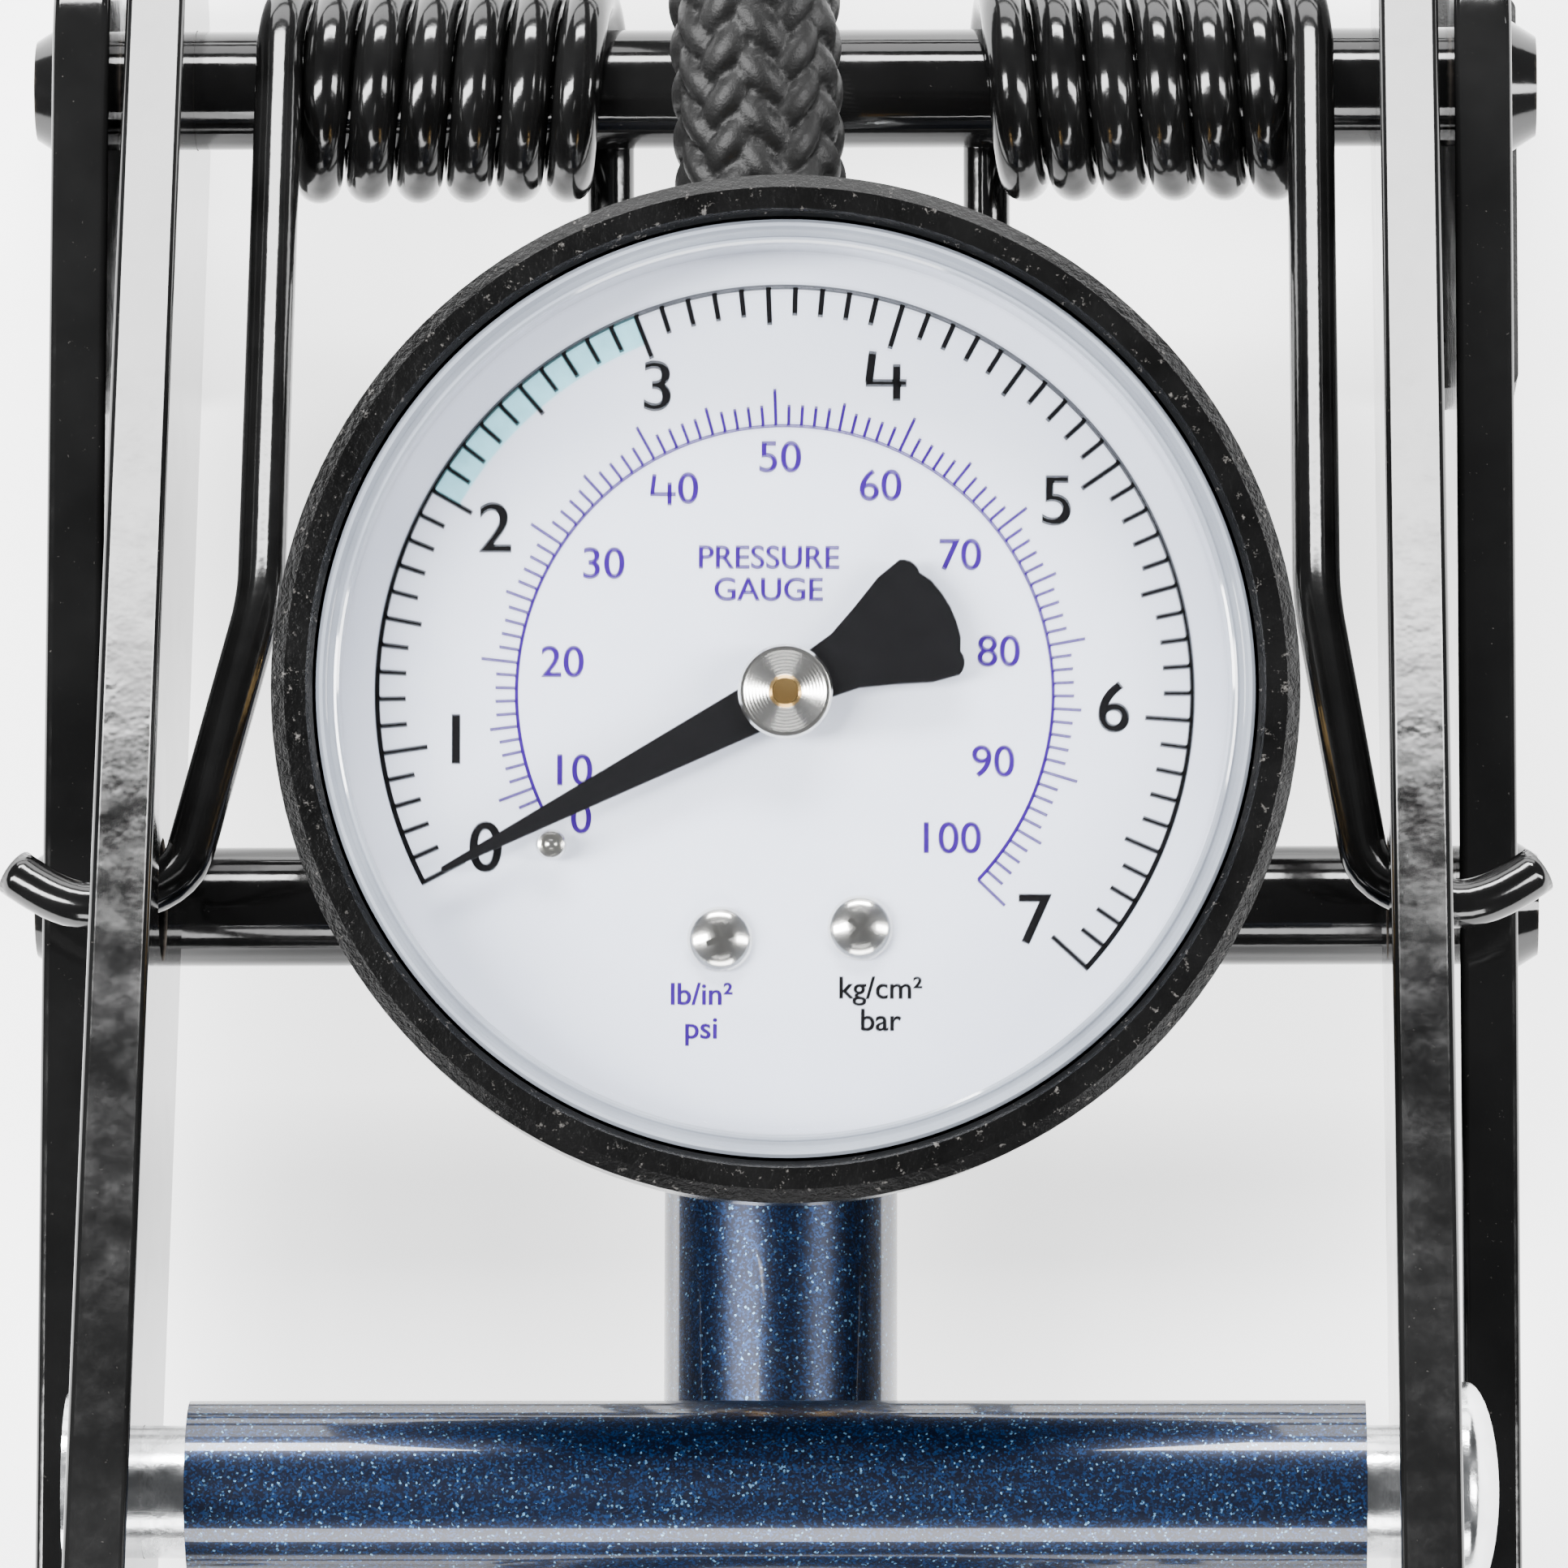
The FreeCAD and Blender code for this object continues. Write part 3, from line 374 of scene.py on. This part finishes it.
def tube_points(points, radius, sides):
    """Rings of vertices along a line of points, with a steady sideways direction."""
    rings = []
    across = None
    for number, point in enumerate(points):
        before = points[max(number - 1, 0)]
        after = points[min(number + 1, len(points) - 1)]
        way = (after - before).normalized()
        if across is None:
            across = way.orthogonal().normalized()
        across = (across - way * across.dot(way)).normalized()
        up = way.cross(across)
        ring = []
        for side in range(sides):
            angle = math.tau * side / sides
            thick = radius(number, side) if callable(radius) else radius
            ring.append(point + (across * math.cos(angle) + up * math.sin(angle)) * thick)
        rings.append(ring)
    return rings


def skin(name, rings, material):
    """A closed skin over rings of vertices."""
    work = bmesh.new()
    made = [[work.verts.new(co) for co in ring] for ring in rings]
    sides = len(made[0])
    for first, second in zip(made, made[1:]):
        for side in range(sides):
            after = (side + 1) % sides
            work.faces.new((first[side], first[after], second[after], second[side]))
    work.faces.new(list(reversed(made[0])))
    work.faces.new(made[-1])
    bmesh.ops.recalc_face_normals(work, faces=work.faces)
    mesh = bpy.data.meshes.new(name)
    work.to_mesh(mesh)
    work.free()
    return finish_piece(name, mesh, material)


def smooth_line(points, fineness):
    """Points along a smooth curve guided by a short list of corners, not through them all."""
    curve = bpy.data.curves.new("guide", "CURVE")
    curve.dimensions = "3D"
    spline = curve.splines.new("NURBS")
    spline.points.add(len(points) - 1)
    for target, point in zip(spline.points, points):
        target.co = (*point, 1.0)
    spline.order_u = 3
    spline.use_endpoint_u = True
    curve.resolution_u = fineness
    guide = bpy.data.objects.new("guide", curve)
    bpy.context.scene.collection.objects.link(guide)
    bpy.context.view_layer.update()
    mesh = bpy.data.meshes.new_from_object(guide)
    line = [vertex.co.copy() for vertex in mesh.vertices]
    bpy.data.objects.remove(guide)
    bpy.data.meshes.remove(mesh)
    bpy.data.curves.remove(curve)
    return line


def spaced(line, gap):
    """The same line with points a steady gap apart, and its length."""
    lengths = [0.0]
    for first, second in zip(line, line[1:]):
        lengths.append(lengths[-1] + (second - first).length)
    count = max(2, round(lengths[-1] / gap))
    result = []
    index = 0
    for number in range(count + 1):
        target = lengths[-1] * number / count
        while index < len(line) - 2 and lengths[index + 1] < target:
            index += 1
        span = lengths[index + 1] - lengths[index]
        share = 0.0 if span < 1e-9 else (target - lengths[index]) / span
        result.append(line[index].lerp(line[index + 1], min(max(share, 0.0), 1.0)))
    return result, lengths[-1]


# ---------------------------------------------------------------- the hose

HOSE_R = 5.4
RING_GAP, HOSE_SIDES, PATH_GAP = 0.36, 120, 3.0
BRAID_STRANDS, BRAID_DEPTH, STRAND_ROUND, STRAND_LIFT = 12, 0.8, 0.4, 0.38
# The route is in millimetres from the hinge: over the gauge's stem, then a loop on the floor.
HOSE_POINTS = [
    (-0.5, -26.0, 10.0), (-1.2, -8.5, 16.0), (-1.6, 7.0, 20.2), (-2.6, 27.0, 20.0),
    (-7.0, 50.0, 11.0), (-18.0, 74.0, -3.5), (-35.5, 98.0, -13.5), (-46.0, 124.0, -16.5),
]
HOSE_LOOP = {"x": 15.0, "y": 133.0, "reach": 63.0, "first": 160.0, "step": 28.0, "count": 7}
LOOP_HEIGHT, LOOP_END_HEIGHT = -16.55, -15.0


def hose_route():
    points = [HINGE + Vector(point) * MM for point in HOSE_POINTS]
    for number in range(HOSE_LOOP["count"]):
        angle = math.radians(HOSE_LOOP["first"] - HOSE_LOOP["step"] * number)
        x = HOSE_LOOP["x"] + HOSE_LOOP["reach"] * math.cos(angle)
        y = HOSE_LOOP["y"] + HOSE_LOOP["reach"] * math.sin(angle)
        lift = LOOP_HEIGHT if number < HOSE_LOOP["count"] - 1 else LOOP_END_HEIGHT
        points.append(HINGE + Vector((x, y, lift)) * MM)
    return points


def hose(material):
    """A textile-braided hose: flat strands woven over and under each other."""
    line = smooth_line(hose_route(), 24)
    points, length = spaced(line, RING_GAP * MM)
    round_the_hose = math.tau * HOSE_R * MM

    def height(number, side):
        along = length * number / (len(points) - 1) / round_the_hose
        right = BRAID_STRANDS * (side / HOSE_SIDES + along)
        left = BRAID_STRANDS * (side / HOSE_SIDES - along)
        if (math.floor(right) + math.floor(left)) % 4 < 2:
            run = (math.floor(right) + left) % 4 / 2
            across = right % 1.0
        else:
            run = ((right + math.floor(left)) % 4 - 2) / 2
            across = left % 1.0
        flat = 1.0 - abs(2.0 * across - 1.0) ** 3
        swell = math.sin(math.pi * min(max(run, 0.0), 1.0))
        return (HOSE_R - BRAID_DEPTH + STRAND_ROUND * flat + STRAND_LIFT * swell) * MM

    piece = skin("hose_braid", tube_points(points, height, HOSE_SIDES), material)
    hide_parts("hose_run")
    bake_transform(piece)


# ---------------------------------------------------------------- the spring

COIL_R, WIRE_R, COIL_PITCH, COIL_TURNS = 5.75, 1.5, 3.2, 6.0
WIRE_GAP, WIRE_SIDES, WIRE_FINENESS, STEPS_PER_TURN = 0.7, 24, 12, 40
# The inner loop's far side, and the lever's hole for the leg: along the lever and above it.
LOOP_FAR = (0, -52.8, -12.55)
HOLE_REACH, HOLE_RISE, LEG_BEND = 59.5, 3.0, 40.0
# Where the hooked end stands sideways: inside the arm, in it, outside it and at its tip.
HOOK_INSIDE, HOOK_IN, HOOK_OUTSIDE, HOOK_TIP = 36.4, 39.5, 43.5, 46.9


def spring_half(sign, inner, material):
    """Half of the double torsion spring, from the middle of its loop to its hooked leg."""
    forward = Vector((0, -math.cos(LEVER_TILT), math.sin(LEVER_TILT)))
    upward = Vector((0, math.sin(LEVER_TILT), math.cos(LEVER_TILT)))
    turns = COIL_TURNS + (math.pi - LEVER_TILT) / math.tau
    low = Vector(LOOP_FAR)
    coil = []
    count = STEPS_PER_TURN * math.ceil(turns)
    for number in range(count + 1):
        share = number / count
        angle = math.tau * turns * share
        x = inner + COIL_PITCH * turns * share
        coil.append(Vector((x, COIL_R * math.sin(angle), -COIL_R * math.cos(angle))))
    outer = inner + COIL_PITCH * turns
    top = upward * COIL_R
    bight = [
        low, Vector((inner - 3.0, low.y, low.z)), Vector((inner, low.y, low.z)),
        Vector((inner, low.y + 3.0, low.z + 0.4)), Vector((inner, -26, -9.2)),
        Vector((inner, 0, -COIL_R)),
    ]
    through = forward * HOLE_REACH + upward * HOLE_RISE
    side = Vector((outer, 0, 0)) + top
    bend = side + forward * LEG_BEND
    mouth = Vector((HOOK_INSIDE, 0, 0)) + through - forward * 1.8
    across = (mouth - bend).normalized()
    leg = [
        side, side + forward * 18, bend - forward * 4, bend, bend + across * 4,
        mouth - across * 3, mouth, Vector((HOOK_IN, 0, 0)) + through,
        Vector((HOOK_OUTSIDE, 0, 0)) + through + forward * 0.8,
        Vector((HOOK_TIP, 0, 0)) + through - forward * 1.9,
    ]
    loop_line = spaced(smooth_line(bight, WIRE_FINENESS), WIRE_GAP)[0]
    leg_line = spaced(smooth_line(leg, WIRE_FINENESS), WIRE_GAP)[0]
    line = loop_line[:-1] + coil + leg_line[1:]
    line = [HINGE + Vector((sign * point.x, point.y, point.z)) * MM for point in line]
    name = "spring_left" if sign < 0 else "spring_right"
    piece = skin(name, tube_points(line, WIRE_R * MM, WIRE_SIDES), material)
    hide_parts("return_spring")
    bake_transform(piece)


# ---------------------------------------------------------------- the gauge

DIAL_PRINT_Z = DIAL_TOP + 0.03
BAR_RADIUS, PSI_RADIUS = 24.3, 16.0
BAR_FIRST, PSI_FIRST = 207.8, 207.4
# The marks' lengths at a ten, at a five and between them, and the widths of the lines.
BAR_TICKS, PSI_TICKS = (2.9, 2.4, 1.85), (2.1, 1.6, 1.15)
BAR_LINE, PSI_ARC, PSI_LINE = 0.3, 0.2, 0.18
BAR_SIZE, PSI_SIZE, TITLE_SIZE, UNIT_SIZE = 4.2, 2.65, 1.95, 1.85


def dial_point(radius, degrees):
    angle = math.radians(degrees)
    return Vector((radius * math.cos(angle), radius * math.sin(angle), 0))


def bar_angle(value):
    """Where a pressure in bar stands on the outer scale."""
    return 188.7 - 38.47 * (value - 1.0)


def psi_angle(value):
    """Where a pressure in psi stands on the inner scale."""
    return 200.8 - 27.18 * (value - 10.0) / 10.0


def tick(value, lengths):
    """The length of the mark at a value: the longest at a ten, shorter at a five."""
    ten, five, between = lengths
    return ten if value % 10 == 0 else five if value % 5 == 0 else between


class Print:
    """Flat printed marks, gathered into one mesh."""

    def __init__(self, name, material, height=DIAL_PRINT_Z):
        self.work = bmesh.new()
        self.name = name
        self.material = material
        self.height = height

    def quad(self, corners):
        self.work.faces.new([self.work.verts.new(corner) for corner in corners])

    def stroke(self, radius, inner, degrees, width):
        start = dial_point(radius, degrees)
        end = dial_point(inner, degrees)
        side = Vector((-start.y, start.x, 0)).normalized() * width / 2
        self.quad((start - side, start + side, end + side, end - side))

    def arc(self, radius, width, first, last):
        count = max(2, round(abs(first - last)))
        for number in range(count):
            a = first + (last - first) * number / count
            b = first + (last - first) * (number + 1) / count
            self.quad((
                dial_point(radius, a), dial_point(radius - width, a),
                dial_point(radius - width, b), dial_point(radius, b),
            ))

    def text(self, words, x, y, size, heavy):
        curve = bpy.data.curves.new("mark", "FONT")
        curve.body = words
        curve.size = size
        curve.align_x = "CENTER"
        curve.align_y = "CENTER"
        curve.offset = heavy
        curve.resolution_u = 6
        holder = bpy.data.objects.new("mark", curve)
        bpy.context.scene.collection.objects.link(holder)
        bpy.context.view_layer.update()
        mesh = bpy.data.meshes.new_from_object(holder)
        mesh.transform(Matrix.Translation((x, y, 0)))
        self.work.from_mesh(mesh)
        bpy.data.objects.remove(holder)
        bpy.data.curves.remove(curve)
        bpy.data.meshes.remove(mesh)

    def four(self, x, y, cap, line):
        """An open-topped figure four, made of three straight strokes."""
        strokes = (
            ((-0.28, 0.5), (-0.36, -0.14)), ((-0.42, -0.14), (0.4, -0.14)),
            ((0.2, 0.24), (0.2, -0.5)),
        )
        for first, last in strokes:
            start = Vector((x + first[0] * cap, y + first[1] * cap, 0))
            end = Vector((x + last[0] * cap, y + last[1] * cap, 0))
            way = (end - start).normalized()
            side = Vector((-way.y, way.x, 0)) * line / 2
            self.quad((start - side, start + side, end + side, end - side))

    def done(self):
        mesh = bpy.data.meshes.new(self.name)
        self.work.to_mesh(mesh)
        self.work.free()
        mesh.transform(gauge_matrix(0, 0, self.height))
        piece = finish_piece(self.name, mesh, self.material, smooth=False)
        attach(piece, "barrel")


# Each numeral, its angle in degrees and its radius in millimetres.
BAR_NUMERALS = [
    ("0", 207.8, 20.0), ("1", 188.6, 19.7), ("2", 150.8, 19.7), ("3", 112.8, 19.6),
    ("4", 72.4, 19.8), ("5", 35.2, 19.7), ("6", -2.7, 19.5), ("7", -42.4, 20.0),
]
PSI_NUMERALS = [
    ("0", 212.0, 14.2), ("10", 200.3, 13.5), ("20", 172.5, 13.3), ("30", 144.9, 13.2),
    ("40", 118.3, 13.7), ("50", 91.4, 13.95), ("60", 65.4, 13.5), ("70", 38.3, 13.2),
    ("80", 11.0, 12.9), ("90", -18.3, 13.0), ("100", -41.6, 13.0),
]


def dial(black, purple, pale):
    """The printed scales: bar outside, psi inside, and the band from 2 to 3 bar."""
    band = Print("dial_band", pale, DIAL_PRINT_Z - 0.015)
    band.arc(BAR_RADIUS, 2.0, bar_angle(2), bar_angle(3))
    band.done()
    marks = Print("dial_marks_bar", black)
    marks.arc(BAR_RADIUS, BAR_LINE, BAR_FIRST, bar_angle(7))
    marks.stroke(BAR_RADIUS, BAR_RADIUS - BAR_TICKS[0], BAR_FIRST, BAR_LINE)
    for tenth in range(6, 71):
        angle = bar_angle(tenth / 10)
        if angle > BAR_FIRST - 1.5:
            continue
        marks.stroke(BAR_RADIUS, BAR_RADIUS - tick(tenth, BAR_TICKS), angle, BAR_LINE)
    for words, degrees, radius in BAR_NUMERALS:
        spot = dial_point(radius, degrees)
        if words == "4":
            marks.four(spot.x, spot.y, 2.95, 0.46)
        else:
            marks.text(words, spot.x, spot.y, BAR_SIZE, 0.045)
    marks.text("kg/cm²", 5.7, -17.5, UNIT_SIZE, 0.03)
    marks.text("bar", 5.7, -19.4, UNIT_SIZE, 0.03)
    marks.done()
    fine = Print("dial_marks_psi", purple)
    fine.arc(PSI_RADIUS, PSI_ARC, PSI_FIRST, psi_angle(100))
    for value in range(8, 101):
        outer = PSI_RADIUS + tick(value, PSI_TICKS)
        fine.stroke(outer, PSI_RADIUS - 0.1, psi_angle(value), PSI_LINE)
    for words, degrees, radius in PSI_NUMERALS:
        spot = dial_point(radius, degrees)
        if words == "40":
            fine.four(spot.x - 0.75, spot.y, 1.85, 0.24)
            fine.text("0", spot.x + 0.72, spot.y, PSI_SIZE, 0.02)
        else:
            fine.text(words, spot.x, spot.y, PSI_SIZE, 0.02)
    fine.text("PRESSURE", -1.0, 8.0, TITLE_SIZE, 0.025)
    fine.text("GAUGE", -1.0, 6.1, TITLE_SIZE, 0.025)
    fine.text("lb/in²", -4.9, -17.9, UNIT_SIZE, 0.03)
    fine.text("psi", -4.9, -19.9, UNIT_SIZE, 0.03)
    fine.done()


NEEDLE_THICK, NEEDLE_REST = 0.45, 207.6
HUB_TOP, HUB_FOOT, HUB_BORE = 1.45, 0.47, 0.78
STOP_PIN = (-13.8, -9.05)
LENS_R, WINDOW_R, WINDOW_LOW, WINDOW_TOP, RIM_R = 27.6, 26.2, 43.0, 44.85, 26.25


def pointer(material):
    """The needle: a long taper to the tip and a rounded fan behind the hub."""
    half = [
        (22.9, 0.0), (22.8, 0.17), (2.0, 1.45), (-2.0, 1.5), (-4.0, 1.8), (-6.0, 2.6),
        (-8.0, 3.5),
    ]
    for step in range(6):
        angle = math.radians(108 + 17 * step)
        half.append((-9.3 + 1.05 * math.cos(angle), 2.85 + 1.05 * math.sin(angle)))
    half += [(-10.72, 1.9), (-10.93, 0.9)]
    outline = half + [(-11.0, 0.0)] + [(x, -y) for x, y in reversed(half[1:])]
    work = bmesh.new()
    face = work.faces.new([work.verts.new((x, y, 0)) for x, y in outline])
    solid = bmesh.ops.extrude_face_region(work, geom=[face])
    lifted = [item for item in solid["geom"] if isinstance(item, bmesh.types.BMVert)]
    bmesh.ops.translate(work, verts=lifted, vec=(0, 0, NEEDLE_THICK))
    bmesh.ops.recalc_face_normals(work, faces=work.faces)
    bmesh.ops.triangulate(work, faces=[item for item in work.faces if len(item.verts) > 4])
    mesh = bpy.data.meshes.new("needle")
    work.to_mesh(mesh)
    work.free()
    mesh.transform(gauge_matrix(0, 0, POINTER_Z, NEEDLE_REST))
    piece = finish_piece("needle", mesh, material, smooth=False)
    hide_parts("gauge_pointer")
    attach(piece, "pointer")


def hub(material):
    """A turned boss with fine lathe rings."""
    top, foot = POINTER_Z + HUB_TOP, POINTER_Z + HUB_FOOT
    outline = [(HUB_BORE, foot), (2.72, foot), (2.8, top - 0.2), (2.66, top)]
    radius = 2.5
    while radius > 0.95:
        outline.append((radius, top - 0.035 * (round(radius * 10) % 2)))
        radius -= 0.1
    outline.append((HUB_BORE, top - 0.12))
    piece = lathe("needle_hub", outline, gauge_matrix(0, 0, 0), material)
    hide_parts("pointer_hub")
    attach(piece, "pointer")


def dome_screw(name, x, y, turn, material):
    """A domed screw with a worn cross recess."""
    height = 1.15
    radius = 1.95
    outline = [(radius, DIAL_TOP), (radius, DIAL_TOP + 0.25)]
    for step in range(1, 13):
        angle = math.radians(90 * step / 12)
        rise = DIAL_TOP + 0.25 + (height - 0.25) * math.sin(angle)
        outline.append((radius * math.cos(angle), rise))
    outline[-1] = (0.0, DIAL_TOP + height)
    outline.insert(0, (0.0, DIAL_TOP - 0.01))
    piece = lathe(name, outline, gauge_matrix(x, y, 0), material, 64)
    cutter = bmesh.new()
    for way in (0, 90):
        made = bmesh.ops.create_cube(cutter, size=1.0)
        slot = Matrix.Diagonal((1.7, 0.36, 0.8, 1))
        shape = Matrix.Rotation(math.radians(way + turn), 4, "Z") @ slot
        bmesh.ops.transform(cutter, matrix=shape, verts=made["verts"])
    mesh = bpy.data.meshes.new("recess")
    cutter.to_mesh(mesh)
    cutter.free()
    mesh.transform(gauge_matrix(x, y, DIAL_TOP + height + 0.1))
    tool = bpy.data.objects.new("recess", mesh)
    bpy.context.scene.collection.objects.link(tool)
    carve = piece.modifiers.new("carve", "BOOLEAN")
    carve.operation = "DIFFERENCE"
    carve.solver = "EXACT"
    carve.use_self = True
    carve.object = tool
    bpy.context.view_layer.update()
    graph = bpy.context.evaluated_depsgraph_get()
    carved = bpy.data.meshes.new_from_object(piece.evaluated_get(graph))
    piece.modifiers.clear()
    piece.data = carved
    bpy.data.objects.remove(tool)
    mark_sharp(piece, 35)
    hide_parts("dial_screws")
    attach(piece, "barrel")


def zero_pin(material):
    """The turned pin the needle rests on."""
    piece = lathe("zero_pin", [
        (0.0, DIAL_TOP), (0.9, DIAL_TOP), (0.9, 40.2), (0.78, 40.5), (0.6, 40.55),
        (0.52, 40.35), (0.36, 40.35), (0.28, 40.65), (0.0, 40.75),
    ], gauge_matrix(*STOP_PIN, 0), material, 48)
    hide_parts("stop_pin")
    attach(piece, "barrel")


def lens(window, rim):
    """The snapped-in clear cover: a thin window in a thick bright edge."""
    pane = lathe("lens_window", [
        (0.0, WINDOW_LOW), (WINDOW_R, WINDOW_LOW), (WINDOW_R, 44.7), (25.9, WINDOW_TOP),
        (0.0, WINDOW_TOP),
    ], gauge_matrix(0, 0, 0), window, sharp=10)
    edge = lathe("lens_edge", [
        (RIM_R, 39.0), (LENS_R, 39.0), (LENS_R, 45.2), (27.4, 45.5), (27.2, 45.5),
        (27.05, 45.2), (26.95, 44.95), (26.65, 44.95), (26.55, 45.15), (26.4, 45.2),
        (RIM_R, 45.1),
    ], gauge_matrix(0, 0, 0), rim, 256)
    for piece in (pane, edge):
        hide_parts("gauge_lens")
        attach(piece, "barrel")


# ---------------------------------------------------------------- the other pieces

HEAD_R, HEAD_HIGH, HEAD_EDGE, SHANK_R = 6.6, 2.5, 0.5, 4.0


def pin_head(material):
    """The barrel pin: its low domed head, on the right arm, and its plain shank."""
    low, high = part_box("barrel_pin")
    start = high[0] / MM - HEAD_HIGH
    dome = HEAD_HIGH - HEAD_EDGE
    outline = [(0.0, start + 0.02), (HEAD_R, start + 0.02), (HEAD_R, start + HEAD_EDGE)]
    for step in range(1, 11):
        angle = math.radians(90 * step / 10)
        rise = start + HEAD_EDGE + dome * math.sin(angle)
        outline.append((HEAD_R * math.cos(angle), rise))
    outline[-1] = (0.0, start + HEAD_HIGH)
    turn = Matrix.Translation(Vector((0, PIN.y, PIN.z))) @ Matrix.Rotation(math.pi / 2, 4, "Y")
    head = lathe("pin_dome", outline, turn @ Matrix.Scale(MM, 4), material, 96)
    left = low[0] / MM
    shank = lathe("pin_shank", [
        (0.0, left), (SHANK_R - 0.4, left), (SHANK_R, left + 0.4), (SHANK_R, start),
        (0.0, start),
    ], turn @ Matrix.Scale(MM, 4), material, 96)
    for piece in (head, shank):
        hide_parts("barrel_pin")
        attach(piece, "lever")


def repaint(materials):
    """Every CAD node takes the finished material of its slot."""
    for part in frame["record"]["subparts"]:
        node = frame["nodes"][part["node"]]
        material = materials[part["material_slot"]]
        if part["node"] == "gauge_case":
            material = materials["case"]
        node.data.materials.clear()
        node.data.materials.append(material)


# ---------------------------------------------------------------- the studio

FLOOR_REACH = 3
CAMERA_PLACE, CAMERA_TURN, CAMERA_LENS = (19.67, -157.7, 751.1), (8.536, 1.484, -0.105), 275.05


def area_light(name, place, target, width, height, power):
    data = bpy.data.lights.new(name, "AREA")
    data.shape = "RECTANGLE"
    data.size = width
    data.size_y = height
    data.energy = power
    light = bpy.data.objects.new(name, data)
    bpy.context.scene.collection.objects.link(light)
    light.location = place
    aim = (Vector(target) - Vector(place)).to_track_quat("-Z", "Y")
    light.rotation_euler = aim.to_euler()


def studio():
    """A pale floor, a dim world and five soft lights."""
    mesh = bpy.data.meshes.new("floor")
    reach = FLOOR_REACH
    corners = [(-reach, -reach, 0), (reach, -reach, 0), (reach, reach, 0), (-reach, reach, 0)]
    mesh.from_pydata(corners, [], [(0, 1, 2, 3)])
    floor_paper = Nodes("floor_paper")
    floor_paper.set(Roughness=0.9, Emission_Strength=1.8, Specular_IOR_Level=0.1)
    floor_paper.shader.inputs["Emission Color"].default_value = (1, 1, 1, 1)
    tone = floor_paper.ramp(floor_paper.noise(2.0), [(0.3, grey(0.9)), (0.8, grey(0.93))])
    floor_paper.link(tone, floor_paper.shader.inputs["Base Color"])
    floor = finish_piece("floor", mesh, floor_paper.material, smooth=False)
    world = bpy.data.worlds.new("studio")
    world.use_nodes = True
    back = world.node_tree.nodes["Background"]
    back.inputs["Color"].default_value = (0.95, 0.97, 1.0, 1.0)
    back.inputs["Strength"].default_value = 0.14
    bpy.context.scene.world = world
    middle = (0, HINGE.y - 0.05, 0.05)
    # Each light's name, place, width, height and power.
    lights = (
        ("rear_key", (0, HINGE.y + 0.9, 0.778), 0.9, 0.24, 42),
        ("rear_fill", (0, HINGE.y + 1.1, 0.3), 1.4, 0.4, 12),
        ("left_box", (-0.66, 0.0, 0.8), 0.22, 0.8, 34),
        ("right_box", (0.85, 0.0, 0.7), 0.22, 0.8, 20),
        ("front_box", (0.1, -1.0, 0.62), 1.0, 0.4, 20),
    )
    for name, place, width, height, power in lights:
        area_light(name, place, middle, width, height, power)


def camera():
    """Almost straight down on the gauge, from a little in front and to the right."""
    data = bpy.data.cameras.new("camera")
    data.sensor_width = 36.0
    data.lens = CAMERA_LENS
    data.clip_start = 0.05
    view = bpy.data.objects.new("camera", data)
    bpy.context.scene.collection.objects.link(view)
    about_x, about_y, about_z = (math.radians(degrees) for degrees in CAMERA_TURN)
    turn = (
        Matrix.Rotation(about_x, 4, "X")
        @ Matrix.Rotation(about_y, 4, "Y")
        @ Matrix.Rotation(about_z, 4, "Z")
    )
    view.matrix_world = Matrix.Translation(HINGE + Vector(CAMERA_PLACE) * MM) @ turn
    bpy.context.scene.camera = view


camera()
studio()

MATERIALS = {
    "black_paint": black_paint(),
    "black_spring": spring_paint(),
    "black_rubber": grained("black_rubber", 0.012, 0.03, 0.62, 700.0, 0.35),
    "blue_paint": blue_sparkle(),
    "zinc_steel": zinc(),
    "brass": metal("brass", (0.55, 0.33, 0.11), (0.86, 0.6, 0.26), 0.22),
    "nickel": metal("nickel", (0.6, 0.59, 0.56), (0.86, 0.85, 0.81), 0.16),
    "black_plastic": grained("black_plastic", 0.008, 0.022, 0.4, 1200.0, 0.25),
    "dial_print": dial_face(),
    "clear_lens": clear_window(),
    "pointer_black": ink("pointer_black", (0.0015, 0.0015, 0.002)),
    "hose_braid": braid_cloth(),
    "case": case_plastic(),
}
repaint(MATERIALS)
hose(MATERIALS["hose_braid"])
spring_half(-1, 11.4, MATERIALS["black_spring"])
spring_half(1, 12.8, MATERIALS["black_spring"])
dial(
    ink("black_ink", (0.001, 0.001, 0.0015)),
    ink("purple_ink", (0.022, 0.002, 0.115)),
    ink("pale_ink", (0.24, 0.54, 0.62)),
)
pointer(MATERIALS["pointer_black"])
hub(MATERIALS["nickel"])
dome_screw("dial_screw_left", -3.8, -14.6, 20, MATERIALS["nickel"])
dome_screw("dial_screw_right", 4.5, -13.9, 52, MATERIALS["nickel"])
zero_pin(MATERIALS["nickel"])
lens(MATERIALS["clear_lens"], clear_rim())
pin_head(MATERIALS["zinc_steel"])
